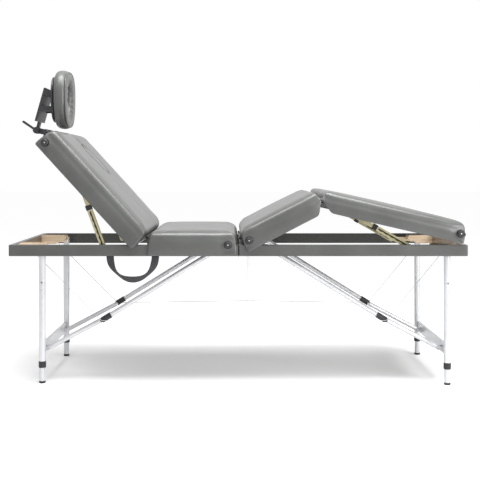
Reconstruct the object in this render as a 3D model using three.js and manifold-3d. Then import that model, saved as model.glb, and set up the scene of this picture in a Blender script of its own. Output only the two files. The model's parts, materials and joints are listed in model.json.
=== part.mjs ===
// Portable massage table: a folding frame in two halves, four padded panels, folding legs, ratchet stays
// and a face cradle.
// Millimetres, +Z up, +X from the head end to the foot end, the fold line at X = 0 and the floor at Z = 0.
import * as THREE from 'three';
import { mergeVertices } from 'three/addons/utils/BufferGeometryUtils.js';
import Module from 'manifold-3d';

const wasm = await Module();
wasm.setup();

// Driving dimensions
const halfLength = 930;
const frameHalfWidth = 325;
const frameBottom = 527;
const railHeight = 46;
const railThickness = 18;
const endRailThickness = 22;
const headFoldRailWidth = 55.4;
const footFoldRailWidth = 106.4;
const panelOverhang = 15;
const panelHalfWidth = frameHalfWidth + panelOverhang;
const boardThickness = 12;
const padTop = 626;
const fit = 0.3;
const overrun = 20;

// Facets of round work: eyes and pins, bores and posts, hubs and bosses, and the larger outlines
const pinSides = 12;
const boreSides = 16;
const bossSides = 20;
const hubSides = 24;
const ovalSides = 32;
const ringSides = 36;
const ringHoleSides = 28;
const barArcSteps = 6;
const lugArcSteps = 8;

// Pose of the photograph
const backrestAngle = THREE.MathUtils.degToRad(47.5);
const kneeAngle = THREE.MathUtils.degToRad(27);
const footAngle = THREE.MathUtils.degToRad(-13);

// Panel hinges
const frameTop = frameBottom + railHeight;
const boardBottom = frameTop + fit;
const hingeRise = 5.2;
const hingeHeight = boardBottom + boardThickness + hingeRise;
const backrestHinge = { x: -377, z: hingeHeight };
const kneeHinge = { x: 4, z: hingeHeight };

// Panel lengths, measured from each panel's hinge line; laid flat, the end panels reach past the frame
const headOverhang = 41;
const footOverhang = 50;
const kneeShare = 0.4;
const backrestLength = halfLength + headOverhang + backrestHinge.x;
const kneeLength = halfLength * kneeShare;
const footLength = halfLength + footOverhang - kneeHinge.x - kneeLength;
const endGap = 6;
const peakGap = 6;
const peakBoardInset = 8;
const hingeEyeRadius = 3.2;
const hingeArmReach = 3.7;
const hingeArmDrop = 9;
const hingeTabWidth = 30;
const hingeTabY = 150;
const endRound = 32;
const peakRound = 14;
const outerRound = 30;
const edgeRound = 26;
const padCrown = 5;
const boardInset = 3;
const skirtThickness = 11.5;

// Skirt depths under the hinge line, and how far the skirts are cut back at the knee
const seatSkirt = hingeHeight - frameBottom;
const backrestSkirt = 60;
const kneeSkirt = 58;
const footSkirt = 49;
const kneeCutBack = 30;

// Legs, in the corners of the frame; the head pair stands closer together, so that both pairs fold flat
const headLegInset = 124;
const footLegInset = 77;
const headLegX = -halfLength + headLegInset;
const footLegX = halfLength - footLegInset;
const legPivotRise = 18;
const legPivotHeight = frameBottom + legPivotRise;
const upperTubeDiameter = 28;
const legRailGap = 2;
const legPairOffset = 30;
const footLegY = frameHalfWidth - railThickness - upperTubeDiameter / 2 - legRailGap;
const headLegY = footLegY - legPairOffset;
const upperTubeWall = 1.5;
const upperTubeBottom = 64;
const collarDiameter = 30.6;
const collarHeight = 26;
const collarLip = 1.2;
const collarGrip = 0.4;
const lowerTubeDiameter = 24;
const lowerTubeWall = 1.6;
const lowerTubeTop = 400;
const footCapDiameter = 27;
const footCapHeight = 9;
const footCapEdge = 2;
const holeDiameter = 7;
const holePitch = 30;
const holeCount = 8;
const firstHoleHeight = 414;
const buttonHole = 1;
const buttonDiameter = 6;
const buttonDepth = 5;

// Cross plate between the two legs of a pair
const plateBottom = 115;
const plateHeight = 45;
const plateThickness = 3;
const plateFlange = 8;

// Struts, folded flat beside each other
const strutDiameter = 20;
const lowerStrutInset = 122;
const strutSpacing = 26;
const lowerStrutY = frameHalfWidth - lowerStrutInset;
const upperStrutY = lowerStrutY + strutSpacing;
const strutFootHeight = 133;
const strutFootOffset = 14;
const strutTopRise = 32;
const strutTopHeight = frameBottom + strutTopRise;
const strutSlack = 0.4;
const knuckleDiameter = 25;
const knuckleLength = 44;
const strutEyeThickness = 8;

// Cables
const cableDiameter = 2.6;
const cableSides = 8;
const tieX = 45;
const cableSag = 9;

// Ratchet stays
const stayWidth = 22;
const stayDepth = 12;
const stayWall = 1.6;
const stayInnerDepth = 5;
const stayLip = 3;
const headStayInset = 35;
const footStayInset = 66.5;
const headStayY = frameHalfWidth - headStayInset;
const footStayY = frameHalfWidth - footStayInset;
const stayPivotDrop = 13;
const stayFootDrop = 23;
const headStayBack = 169;
const footStayEndInset = 208;
const headStayFoot = { x: backrestHinge.x - headStayBack, z: frameTop - stayFootDrop };
const footStayFoot = { x: halfLength - footStayEndInset, z: frameTop - stayFootDrop };
const headStayReach = 383;
const footStayBack = 473;
const footStayReach = footLength - footStayBack;
const stayOuterLength = 178;
const stayInnerBack = 130;
const toothPitch = 13;
const toothDepth = 3;
const toothSlopeShare = 0.6;
const stayCapLength = 16;
const stayCapWall = 1.4;

// Leg blocks at the corners of the frame
const blockLength = 112;
const blockWidth = 60;
const blockHeight = 38;
const blockChamfer = 5;
const blockNotchLength = 46;
const blockNotchHeight = 9;

// Rubber feet on the sides of the panels
const rubberDiameter = 34;
const rubberHeight = 13;
const rubberFlange = 3;
const rubberDimple = 9;
const rubberDimpleDepth = 3;

// Face hole and its plug
const faceHoleLength = 186;
const faceHoleWidth = 124;
const faceHoleFromEnd = 178;
const plugGap = 1;
const plugThickness = 38;
const plugCrown = 7;

// Head rest, in the plane of the table's middle
const postDiameter = 12;
const postHalfSpacing = 62;
const postDrop = 33;
const postInset = 33;
const socketDepth = 36;
const socketHeight = 31;
const socketHalfWidth = 110;
const postReach = 44;
const bridgeWidth = 24;
const bridgeThickness = 18;
const hubStandOff = 44;
const tiltHub = { along: backrestLength + postReach + hubStandOff, drop: 64 };
const hubDiameter = 30;
const hubHalfWidth = 17;
const cradleForward = 119;
const cradleRise = 134;
const cradleHalfWidth = 140;
const cradleHalfHeight = 128;
const cradleThickness = 62;
const cradleRound = 26;
const cradleHoleHalfWidth = 52;
const cradleHoleHalfHeight = 66;
const backPlateThickness = 10;
const backPlateHalfWidth = 80;
const backPlateRise = 182;
const leverLength = 66;
const leverWidth = 14;
const leverThickness = 8;
const leverY = 24;

// Carry handle, a webbing strap on the near rail
const strapWidth = 30;
const strapThickness = 3;
const strapLeftX = -519;
const strapRightX = -336;
const strapDrop = 98;
const strapTwistShare = 0.35;

// Fold hinge under the fold line
const hingeLeafWidth = 16;
const hingeLeafThickness = 1.6;
const foldHingeInset = 25;
const hingeLength = 2 * (frameHalfWidth - foldHingeInset);

function material(color, roughness, metalness = 0) {
  return new THREE.MeshStandardMaterial({ color, roughness, metalness });
}

const vinyl = material('#6b6e6d', 0.55);
const paintedFrame = material('#63676a', 0.6);
const plywood = material('#8d7a63', 0.8);
const beech = material('#d8ba90', 0.65);
const whiteAluminium = material('#e6e7ea', 0.35, 0.4);
const zincYellow = material('#c8c4a1', 0.35, 0.8);
const blackPlastic = material('#17181a', 0.45);
const rubber = material('#101113', 0.6);
const steelWire = material('#b9bcc0', 0.3, 0.9);
const webbing = material('#3c3e41', 0.9);

const table = new THREE.Group();

function solid(geometry) {
  const bare = geometry.clone();
  for (const name of Object.keys(bare.attributes)) {
    if (name !== 'position') bare.deleteAttribute(name);
  }
  const merged = mergeVertices(bare);
  const vertProperties = new Float32Array(merged.attributes.position.array);
  const triVerts = new Uint32Array(merged.index.array);
  return new wasm.Manifold(new wasm.Mesh({ numProp: 3, vertProperties, triVerts }));
}

function toGeometry(manifold) {
  const mesh = manifold.getMesh();
  const geometry = new THREE.BufferGeometry();
  const corners = new Float32Array(mesh.vertProperties);
  geometry.setAttribute('position', new THREE.BufferAttribute(corners, mesh.numProp));
  geometry.setIndex(new THREE.BufferAttribute(new Uint32Array(mesh.triVerts), 1));
  return geometry;
}

function add(name, shape, finish) {
  const geometry = shape.isBufferGeometry ? shape : toGeometry(shape);
  const mesh = new THREE.Mesh(geometry, finish);
  mesh.name = name;
  table.add(mesh);
  return mesh;
}

function moved(geometry, x, y, z) {
  return geometry.clone().translate(x, y, z);
}

function box(x0, x1, y0, y1, z0, z1) {
  const geometry = new THREE.BoxGeometry(x1 - x0, y1 - y0, z1 - z0);
  return geometry.translate((x0 + x1) / 2, (y0 + y1) / 2, (z0 + z1) / 2);
}

// A cylinder between two points
function rod(from, to, radius, sides) {
  const axis = new THREE.Vector3().subVectors(to, from);
  const geometry = new THREE.CylinderGeometry(radius, radius, axis.length(), sides);
  const turn = new THREE.Quaternion();
  turn.setFromUnitVectors(new THREE.Vector3(0, 1, 0), axis.clone().normalize());
  geometry.applyQuaternion(turn);
  const middle = new THREE.Vector3().addVectors(from, to).multiplyScalar(0.5);
  return geometry.translate(middle.x, middle.y, middle.z);
}

function point(x, y, z) {
  return new THREE.Vector3(x, y, z);
}

// A shape drawn in X and Z, extruded along Y between two values
function plateXZ(shape, y0, y1, segments) {
  const geometry = new THREE.ExtrudeGeometry(shape, {
    depth: y1 - y0,
    bevelEnabled: false,
    curveSegments: segments,
  });
  geometry.applyMatrix4(new THREE.Matrix4().makeRotationX(Math.PI / 2));
  return geometry.translate(0, y1, 0);
}

function polygon(points) {
  const shape = new THREE.Shape();
  shape.setFromPoints(points.map(([a, b]) => new THREE.Vector2(a, b)));
  return shape;
}

// A bar with round ends from one point to another in X and Z
function barShape(a, b, width) {
  const angle = Math.atan2(b.z - a.z, b.x - a.x);
  const shape = new THREE.Shape();
  shape.absarc(a.x, a.z, width / 2, angle + Math.PI / 2, angle + 3 * Math.PI / 2, false);
  shape.absarc(b.x, b.z, width / 2, angle - Math.PI / 2, angle + Math.PI / 2, false);
  shape.closePath();
  return shape;
}

// Frame halves: boards in vinyl round an open middle, with lugs for the struts and one leaf of the fold hinge
const foldAxisDrop = 2;
const cornerRound = 8;
const edgeBevel = 3;
const lugThickness = 3;
const lugReach = 8;

function frameRing(x0, x1, hole0, hole1) {
  const inset = cornerRound;
  const outline = new THREE.Shape();
  outline.moveTo(x0 + inset, -frameHalfWidth);
  outline.lineTo(x1 - inset, -frameHalfWidth);
  outline.absarc(x1 - inset, -frameHalfWidth + inset, inset, -Math.PI / 2, 0, false);
  outline.lineTo(x1, frameHalfWidth - inset);
  outline.absarc(x1 - inset, frameHalfWidth - inset, inset, 0, Math.PI / 2, false);
  outline.lineTo(x0 + inset, frameHalfWidth);
  outline.absarc(x0 + inset, frameHalfWidth - inset, inset, Math.PI / 2, Math.PI, false);
  outline.lineTo(x0, -frameHalfWidth + inset);
  outline.absarc(x0 + inset, -frameHalfWidth + inset, inset, Math.PI, 3 * Math.PI / 2, false);
  const ring = new THREE.ExtrudeGeometry(outline, {
    depth: railHeight - 2 * edgeBevel,
    bevelThickness: edgeBevel,
    bevelSize: edgeBevel,
    bevelOffset: -edgeBevel,
    bevelSegments: 2,
    curveSegments: 3,
  }).translate(0, 0, frameBottom + edgeBevel);
  const inner = frameHalfWidth - railThickness;
  const middle = box(hole0, hole1, -inner, inner, frameBottom - overrun, frameTop + overrun);
  return solid(ring).subtract(solid(middle));
}

function strutLugs(railX, toward, top) {
  const pieces = [];
  for (const side of [-1, 1]) {
    for (const cheek of [-1, 1]) {
      const near = side * upperStrutY + cheek * (strutDiameter / 2 + fit);
      const far = near + cheek * lugThickness;
      const x0 = Math.min(railX - toward * lugThickness, top.x + toward * lugReach);
      const x1 = Math.max(railX - toward * lugThickness, top.x + toward * lugReach);
      pieces.push(box(x0, x1, Math.min(near, far), Math.max(near, far), top.z - lugReach, top.z + lugReach));
    }
  }
  return pieces;
}

const headFrameEnd = -halfLength;
const headHole = { x0: -halfLength + endRailThickness, x1: -fit - headFoldRailWidth };
const footHole = { x0: fit + footFoldRailWidth, x1: halfLength - endRailThickness };
const strutTopGap = strutDiameter / 2 + fit;
const headStrutTop = { x: headHole.x1 - strutTopGap, z: strutTopHeight };
const footStrutTop = { x: footHole.x0 + strutTopGap, z: strutTopHeight };
const foldAxisHeight = frameBottom - foldAxisDrop;
const knuckleGap = 0.1;
const knuckleRadius = foldAxisDrop - knuckleGap;

let headFrame = frameRing(headFrameEnd, -fit, headHole.x0, headHole.x1);
for (const lug of strutLugs(headHole.x1, -1, headStrutTop)) headFrame = headFrame.add(solid(lug));
const leafTop = frameBottom + fit;
const headLeaf = box(
  -hingeLeafWidth, 0, -hingeLength / 2, hingeLength / 2, frameBottom - hingeLeafThickness, leafTop,
);
const hingeKnuckle = rod(
  point(0, -hingeLength / 2, foldAxisHeight),
  point(0, hingeLength / 2, foldAxisHeight),
  knuckleRadius,
  pinSides,
);
headFrame = headFrame.add(solid(headLeaf).subtract(solid(box(
  -fit, overrun, -hingeLength, hingeLength, frameBottom, frameTop,
)))).add(solid(hingeKnuckle));
add('head_frame', headFrame, paintedFrame);

let footFrame = frameRing(fit, halfLength, footHole.x0, footHole.x1);
for (const lug of strutLugs(footHole.x0, 1, footStrutTop)) footFrame = footFrame.add(solid(lug));
const footLeafStart = knuckleRadius + fit;
footFrame = footFrame.add(solid(box(
  footLeafStart, footLeafStart + hingeLeafWidth, -hingeLength / 2, hingeLength / 2,
  frameBottom - hingeLeafThickness, leafTop,
)));
for (const side of [-1, 1]) {
  const start = side * (hingeTabY + hingeTabWidth + fit);
  const y0 = Math.min(start, start + side * hingeTabWidth);
  const ear = box(fit, kneeHinge.x, y0, y0 + hingeTabWidth, frameTop - 2 * edgeBevel, kneeHinge.z);
  const eye = rod(
    point(kneeHinge.x, y0, kneeHinge.z), point(kneeHinge.x, y0 + hingeTabWidth, kneeHinge.z), hingeEyeRadius,
    pinSides,
  );
  footFrame = footFrame.add(solid(ear)).add(solid(eye));
}
add('foot_frame', footFrame, paintedFrame);

// Leg blocks: beech blocks in the corners of the frame, that the legs pivot on
const blockTopGap = 2;
const blockTop = frameTop - blockTopGap;
const blockBottom = blockTop - blockHeight;
const stayArmThickness = 4;
const stayArmHeight = 18;

function legBlock(endX, toward, legY, side, armTo) {
  const wall = endX + toward * fit;
  const inner = wall + toward * blockLength;
  const outline = polygon([
    [wall, blockBottom],
    [inner - toward * blockNotchLength, blockBottom],
    [inner - toward * (blockNotchLength - blockNotchHeight), blockBottom + blockNotchHeight],
    [inner - toward * blockNotchHeight, blockBottom + blockNotchHeight],
    [inner, blockBottom + 2 * blockNotchHeight],
    [inner, blockTop - blockChamfer],
    [inner - toward * blockChamfer, blockTop],
    [wall, blockTop],
  ]);
  const outerY = legY - upperTubeDiameter / 2 - fit;
  const y0 = side > 0 ? outerY - blockWidth : -outerY;
  let block = solid(plateXZ(outline, y0, y0 + blockWidth, lugArcSteps));
  if (armTo) {
    const armFace = footStayY + stayDepth / 2 + fit;
    const a = side * armFace;
    const b = side * (armFace + stayArmThickness);
    const arm = barShape({ x: inner + blockChamfer, z: armTo.z }, armTo, stayArmHeight);
    block = block.add(solid(plateXZ(arm, Math.min(a, b), Math.max(a, b), lugArcSteps)));
  }
  return block;
}

const sides = [['near', -1], ['far', 1]];
for (const [word, side] of sides) {
  add(`head_leg_block_${word}`, legBlock(headHole.x0, 1, headLegY, side), beech);
  add(`foot_leg_block_${word}`, legBlock(footHole.x1, -1, footLegY, side, footStayFoot), beech);
}

// Legs: an upper tube with a collar and a row of holes, a lower tube with a foot cap, and a spring button
const tubeSides = 18;
const holeSides = 8;
const buttonHeight = firstHoleHeight - buttonHole * holePitch;

function upperTube(x, y, side) {
  const outer = upperTubeDiameter / 2;
  const inner = outer - upperTubeWall;
  const collar = collarDiameter / 2;
  const top = legPivotHeight + outer;
  const lip = inner - collarGrip;
  const profile = [
    [lip, upperTubeBottom],
    [collar - collarLip / 2, upperTubeBottom],
    [collar, upperTubeBottom + collarLip],
    [collar, upperTubeBottom + collarHeight - collarLip],
    [collar - collarLip / 2, upperTubeBottom + collarHeight],
    [outer, upperTubeBottom + collarHeight],
    [outer, top - collarLip],
    [outer - collarLip, top],
    [0, top],
    [0, top - upperTubeWall],
    [inner, top - upperTubeWall],
    [inner, upperTubeBottom + collarHeight],
    [lip, upperTubeBottom + collarHeight],
  ].map(([r, z]) => new THREE.Vector2(r, z));
  profile.push(profile[0].clone());
  const tube = new THREE.LatheGeometry(profile, tubeSides);
  tube.applyMatrix4(new THREE.Matrix4().makeRotationX(Math.PI / 2));
  let body = solid(tube);
  for (let hole = 0; hole < holeCount; hole += 1) {
    const z = firstHoleHeight - hole * holePitch;
    const bore = rod(point(0, 0, z), point(0, side * (outer + overrun), z), holeDiameter / 2, holeSides);
    body = body.subtract(solid(bore));
  }
  return toGeometry(body).translate(x, y, 0);
}

function lowerTube(x, y, side) {
  const outer = lowerTubeDiameter / 2;
  const inner = outer - lowerTubeWall;
  const cap = footCapDiameter / 2;
  const profile = [
    [0, 0],
    [cap - footCapEdge, 0],
    [cap, footCapEdge],
    [cap, footCapHeight - footCapEdge / 2],
    [cap - footCapEdge / 2, footCapHeight],
    [outer, footCapHeight],
    [outer, lowerTubeTop],
    [inner, lowerTubeTop],
    [inner, footCapHeight],
    [0, footCapHeight],
  ].map(([r, z]) => new THREE.Vector2(r, z));
  const tube = new THREE.LatheGeometry(profile, tubeSides);
  tube.applyMatrix4(new THREE.Matrix4().makeRotationX(Math.PI / 2));
  const hole = rod(
    point(0, 0, buttonHeight),
    point(0, side * (outer + overrun), buttonHeight),
    buttonDiameter / 2 + fit,
    holeSides,
  );
  return toGeometry(solid(tube).subtract(solid(hole))).translate(x, y, 0);
}

function springButton(x, y, side) {
  const face = lowerTubeDiameter / 2;
  return rod(
    point(x, y + side * (face - buttonDepth), buttonHeight), point(x, y + side * face, buttonHeight),
    buttonDiameter / 2, holeSides,
  );
}

for (const [end, x, legY] of [['head', headLegX, headLegY], ['foot', footLegX, footLegY]]) {
  for (const [word, side] of sides) {
    add(`${end}_leg_upper_${word}`, upperTube(x, side * legY, side), whiteAluminium);
    add(`${end}_leg_lower_${word}`, lowerTube(x, side * legY, side), whiteAluminium);
    add(`${end}_leg_button_${word}`, springButton(x, side * legY, side), steelWire);
  }
}

// Cross plates: a folded plate between the two legs of a pair, with lugs for the lower struts
function crossPlate(x, legY, toward) {
  const half = legY - upperTubeDiameter / 2 - fit;
  const face = plateThickness / 2;
  const back = x - toward * (face + plateFlange);
  const front = x + toward * face;
  let body = solid(box(
    Math.min(back, front), Math.max(back, front), -half, half, plateBottom, plateBottom + plateHeight,
  ));
  const hollowBack = x - toward * (face + overrun);
  const hollowFront = x - toward * face;
  body = body.subtract(solid(box(
    Math.min(hollowBack, hollowFront), Math.max(hollowBack, hollowFront), -half - overrun, half + overrun,
    plateBottom + plateThickness, plateBottom + plateHeight - plateThickness,
  )));
  for (const side of [-1, 1]) {
    for (const cheek of [-1, 1]) {
      const near = side * lowerStrutY + cheek * (strutDiameter / 2 + fit);
      const far = near + cheek * lugThickness;
      const tip = x + toward * (strutFootOffset + lugReach);
      body = body.add(solid(box(
        Math.min(x, tip), Math.max(x, tip), Math.min(near, far), Math.max(near, far),
        strutFootHeight - lugReach, strutFootHeight + lugReach,
      )));
    }
  }
  return body;
}

add('head_cross_plate', crossPlate(headLegX, headLegY, 1), whiteAluminium);
add('foot_cross_plate', crossPlate(footLegX, footLegY, -1), whiteAluminium);

// Struts: two tubes, nearly straight when the leg stands and flat beside each other when it is folded
function strutEnds(legX, toward, top) {
  const foot = { x: legX + toward * strutFootOffset, z: strutFootHeight };
  const foldedX = legX + toward * (legPivotHeight - strutFootHeight);
  const folded = { x: foldedX, z: legPivotHeight + strutFootOffset };
  const straight = Math.hypot(top.x - foot.x, top.z - foot.z);
  const foldedSpan = Math.hypot(top.x - folded.x, top.z - folded.z);
  const lower = (straight + strutSlack - foldedSpan) / 2;
  const upper = straight + strutSlack - lower;
  const along = (straight ** 2 + lower ** 2 - upper ** 2) / (2 * straight);
  const sag = Math.sqrt(Math.max(lower ** 2 - along ** 2, 0));
  const ux = (top.x - foot.x) / straight;
  const uz = (top.z - foot.z) / straight;
  const knuckle = { x: foot.x + ux * along + toward * uz * sag, z: foot.z + uz * along - toward * ux * sag };
  return { foot, top, knuckle, lower, upper };
}

const headStruts = strutEnds(headLegX, 1, headStrutTop);
const footStruts = strutEnds(footLegX, -1, footStrutTop);
const strutSides = 12;
const strutPinSides = 10;
const strutCapSegments = 2;

function strut(a, b, y) {
  const from = point(a.x, y, a.z);
  const to = point(b.x, y, b.z);
  const axis = new THREE.Vector3().subVectors(to, from);
  const body = new THREE.CapsuleGeometry(strutDiameter / 2, axis.length(), strutCapSegments, strutSides);
  const turn = new THREE.Quaternion();
  turn.setFromUnitVectors(new THREE.Vector3(0, 1, 0), axis.normalize());
  body.applyQuaternion(turn);
  return body.translate((from.x + to.x) / 2, y, (from.z + to.z) / 2);
}

function upperStrut(ends, side) {
  const y = side * upperStrutY;
  const share = knuckleLength / 2 / ends.upper;
  const a = { x: ends.knuckle.x, z: ends.knuckle.z };
  const b = {
    x: a.x + (ends.top.x - a.x) * 2 * share,
    z: a.z + (ends.top.z - a.z) * 2 * share,
  };
  const sleeve = rod(point(a.x, y, a.z), point(b.x, y, b.z), knuckleDiameter / 2, strutSides);
  const inner = lowerStrutY + strutDiameter / 2 + fit;
  const pin = rod(point(a.x, side * inner, a.z), point(a.x, y, a.z), strutEyeThickness / 2, strutPinSides);
  return solid(strut(ends.knuckle, ends.top, y)).add(solid(sleeve)).add(solid(pin));
}

for (const [end, ends] of [['head', headStruts], ['foot', footStruts]]) {
  for (const [word, side] of sides) {
    add(`${end}_strut_lower_${word}`, strut(ends.foot, ends.knuckle, side * lowerStrutY), whiteAluminium);
    add(`${end}_strut_upper_${word}`, upperStrut(ends, side), whiteAluminium);
  }
}

// Cables: a thin steel rope on each side, from block to knuckle to knuckle to block, with a tie to the frame
const cableRadius = cableDiameter / 2;
const cablePlane = upperStrutY + knuckleDiameter / 2 + fit + cableRadius;
const cableTop = blockBottom - fit;
const headCableX = headHole.x0 + blockLength - blockNotchLength;
const footCableX = footHole.x1 - blockLength + blockNotchLength;

function cableNet(side) {
  const y = side * cablePlane;
  const tieFoot = { x: tieX, z: (headStruts.knuckle.z + footStruts.knuckle.z) / 2 + cableSag };
  const stops = [
    { x: headCableX, z: cableTop },
    headStruts.knuckle,
    tieFoot,
    footStruts.knuckle,
    { x: footCableX, z: cableTop },
  ];
  let net = null;
  for (let i = 1; i < stops.length; i += 1) {
    const a = stops[i - 1];
    const b = stops[i];
    const run = solid(rod(point(a.x, y, a.z), point(b.x, y, b.z), cableRadius, cableSides));
    net = net ? net.add(run) : run;
  }
  const tie = rod(point(tieX, y, tieFoot.z), point(tieX, y, frameBottom - fit), cableRadius, cableSides);
  return net.add(solid(tie));
}

for (const [word, side] of sides) add(`cable_${word}`, cableNet(side), steelWire);

// Panel frames: each panel is drawn flat, x along it from its hinge, then turned about its hinge
function placed(geometry, hinge, angle) {
  const turned = geometry.clone();
  turned.applyMatrix4(new THREE.Matrix4().makeRotationY(-angle));
  return turned.translate(hinge.x, 0, hinge.z);
}

function onPanel(hinge, angle, along, rise) {
  return {
    x: hinge.x + along * Math.cos(angle) - rise * Math.sin(angle),
    z: hinge.z + along * Math.sin(angle) + rise * Math.cos(angle),
  };
}

const footHinge = onPanel(kneeHinge, kneeAngle, kneeLength, 0);
const boardBase = boardBottom - hingeHeight;
const boardHalfWidth = panelHalfWidth - skirtThickness - fit;
const stayPivotRise = boardBase - stayPivotDrop;

// Boards: plywood under each pad, with lugs for the stays and, on the backrest, the socket for the head rest
const stayLugRadius = 8;

function stayLugs(along, stayY) {
  const pieces = [];
  for (const side of [-1, 1]) {
    const face = stayY - stayInnerDepth / 2 - fit;
    const a = side * face;
    const b = side * (face - lugThickness);
    const lug = new THREE.Shape();
    lug.moveTo(along - stayLugRadius, boardBase + fit);
    lug.absarc(along, stayPivotRise, stayLugRadius, Math.PI, 2 * Math.PI, false);
    lug.lineTo(along + stayLugRadius, boardBase + fit);
    pieces.push(plateXZ(lug, Math.min(a, b), Math.max(a, b), lugArcSteps));
  }
  return pieces;
}

function board(x0, x1, halfWidth) {
  return solid(box(x0, x1, -halfWidth, halfWidth, boardBase, boardBase + boardThickness));
}

// Hinge tabs: eyes on the hinge line, on arms that reach down past the pads to a board; the tabs of two
// boards lie side by side
function hingeTabs(x, toward, inset, place) {
  const pieces = [];
  for (const side of [-1, 1]) {
    const start = side * (hingeTabY + place * (hingeTabWidth + fit));
    const y0 = Math.min(start, start + side * hingeTabWidth);
    const y1 = y0 + hingeTabWidth;
    const armEnd = x + toward * hingeArmReach;
    const footEnd = x + toward * (inset + hingeEyeRadius);
    const tabTop = boardBase + boardThickness - fit;
    pieces.push(rod(point(x, y0, 0), point(x, y1, 0), hingeEyeRadius, pinSides));
    pieces.push(box(Math.min(x, armEnd), Math.max(x, armEnd), y0, y1, -hingeArmDrop, 0));
    pieces.push(box(Math.min(x, footEnd), Math.max(x, footEnd), y0, y1, -hingeArmDrop, tabTop));
  }
  return pieces;
}

function joined(body, pieces) {
  return pieces.reduce((sum, piece) => sum.add(solid(piece)), body);
}

const backrestTurn = -backrestAngle;
const backrestEnd = -backrestLength;
const faceHoleX = backrestEnd + faceHoleFromEnd;

function ellipse(halfLength1, halfWidth1, z0, z1, x) {
  const hole = new THREE.CylinderGeometry(1, 1, z1 - z0, ovalSides);
  hole.applyMatrix4(new THREE.Matrix4().makeRotationX(Math.PI / 2));
  hole.scale(halfLength1, halfWidth1, 1);
  return hole.translate(x, 0, (z0 + z1) / 2);
}

const postRise = -postDrop;
let backrestBoard = board(backrestEnd + boardInset, -endGap - boardInset, boardHalfWidth);
backrestBoard = joined(backrestBoard, stayLugs(-headStayReach, headStayY));
backrestBoard = joined(backrestBoard, hingeTabs(0, -1, endGap + boardInset, 0));
backrestBoard = backrestBoard.add(solid(box(
  backrestEnd + boardInset, backrestEnd + boardInset + socketDepth, -socketHalfWidth, socketHalfWidth,
  boardBase - socketHeight, boardBase + fit,
)));
for (const side of [-1, 1]) {
  backrestBoard = backrestBoard.subtract(solid(rod(
    point(backrestEnd - overrun, side * postHalfSpacing, postRise),
    point(backrestEnd + boardInset + postInset + fit, side * postHalfSpacing, postRise),
    postDiameter / 2 + fit, boreSides,
  )));
}
const holeLow = boardBase - overrun;
backrestBoard = backrestBoard.subtract(solid(ellipse(
  faceHoleLength / 2, faceHoleWidth / 2, holeLow, boardBase + boardThickness + overrun, faceHoleX,
)));
add('backrest_board', placed(toGeometry(backrestBoard), backrestHinge, backrestTurn), plywood);

const seatStart = backrestHinge.x + endGap;
const seatEnd = kneeHinge.x - endGap;
const seatBoard = joined(
  board(seatStart + boardInset, seatEnd - boardInset, boardHalfWidth),
  hingeTabs(backrestHinge.x, 1, endGap + boardInset, 1),
);
add('seat_board', moved(toGeometry(seatBoard), 0, 0, hingeHeight), plywood);
let kneeBoard = board(endGap + boardInset, kneeLength - peakBoardInset, boardHalfWidth);
kneeBoard = joined(kneeBoard, hingeTabs(0, 1, endGap + boardInset, 0));
kneeBoard = joined(kneeBoard, hingeTabs(kneeLength, -1, peakBoardInset, 1));
add('knee_board', placed(toGeometry(kneeBoard), kneeHinge, kneeAngle), plywood);
let footBoard = board(peakBoardInset, footLength - boardInset, boardHalfWidth);
footBoard = joined(footBoard, stayLugs(footStayReach, footStayY));
footBoard = joined(footBoard, hingeTabs(0, 1, peakBoardInset, 0));
add('foot_board', placed(toGeometry(footBoard), footHinge, footAngle), plywood);

// Pads: foam in vinyl with a crown, sides that draw in under the top edge, and skirts down past the board
const padRise = padTop - hingeHeight;
const padFloor = boardBase + boardThickness + fit;
const roundShare = 0.9;
const edgeSteps = 4;
const crownSteps = 3;
const sideDraw = 3;
const endDraw = 4;
const lipAtCut = 1.5;

// The height lost near an end with a round of this radius
function endFall(distance, radius) {
  const inside = Math.max(radius - distance, 0);
  return radius - Math.sqrt(radius ** 2 - inside ** 2);
}

function padSection(x, top, half, bottom, crown) {
  const inner = panelHalfWidth - skirtThickness;
  const round = Math.min(edgeRound, (top - padFloor) * roundShare);
  const right = [
    [inner, padFloor],
    [inner, bottom],
    [half - sideDraw, bottom],
    [half, (bottom + padFloor) / 2],
  ];
  for (let i = 0; i <= edgeSteps; i += 1) {
    const turn = (i / edgeSteps) * Math.PI / 2;
    right.push([half - sideDraw / 2 - round + round * Math.cos(turn), top - round + round * Math.sin(turn)]);
  }
  for (let i = 1; i <= crownSteps; i += 1) {
    const share = i / crownSteps;
    const y = (half - sideDraw / 2 - round) * (1 - share);
    right.push([y, top + crown * Math.sin(share * Math.PI / 2)]);
  }
  const left = right.slice(0, -1).reverse().map(([y, z]) => [-y, z]);
  return [...right, ...left].map(([y, z]) => point(x, y, z));
}

function loft(sections) {
  const count = sections[0].length;
  const positions = sections.flat().flatMap((p) => [p.x, p.y, p.z]);
  const index = [];
  for (let s = 1; s < sections.length; s += 1) {
    for (let i = 0; i < count; i += 1) {
      const j = (i + 1) % count;
      const a = (s - 1) * count + i;
      const b = (s - 1) * count + j;
      const c = s * count + i;
      const d = s * count + j;
      index.push(a, d, c, a, b, d);
    }
  }
  const contour = sections[0].map((p) => new THREE.Vector2(p.y, p.z));
  const last = (sections.length - 1) * count;
  for (const [a, b, c] of THREE.ShapeUtils.triangulateShape(contour, [])) {
    index.push(a, c, b);
  }
  const endContour = sections[sections.length - 1].map((p) => new THREE.Vector2(p.y, p.z));
  for (const [a, b, c] of THREE.ShapeUtils.triangulateShape(endContour, [])) {
    index.push(last + a, last + b, last + c);
  }
  const geometry = new THREE.BufferGeometry();
  geometry.setAttribute('position', new THREE.BufferAttribute(new Float32Array(positions), 3));
  geometry.setIndex(index);
  return geometry;
}

const roundSteps = 4;
const middleShares = [0.3, 0.5, 0.7];

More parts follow.
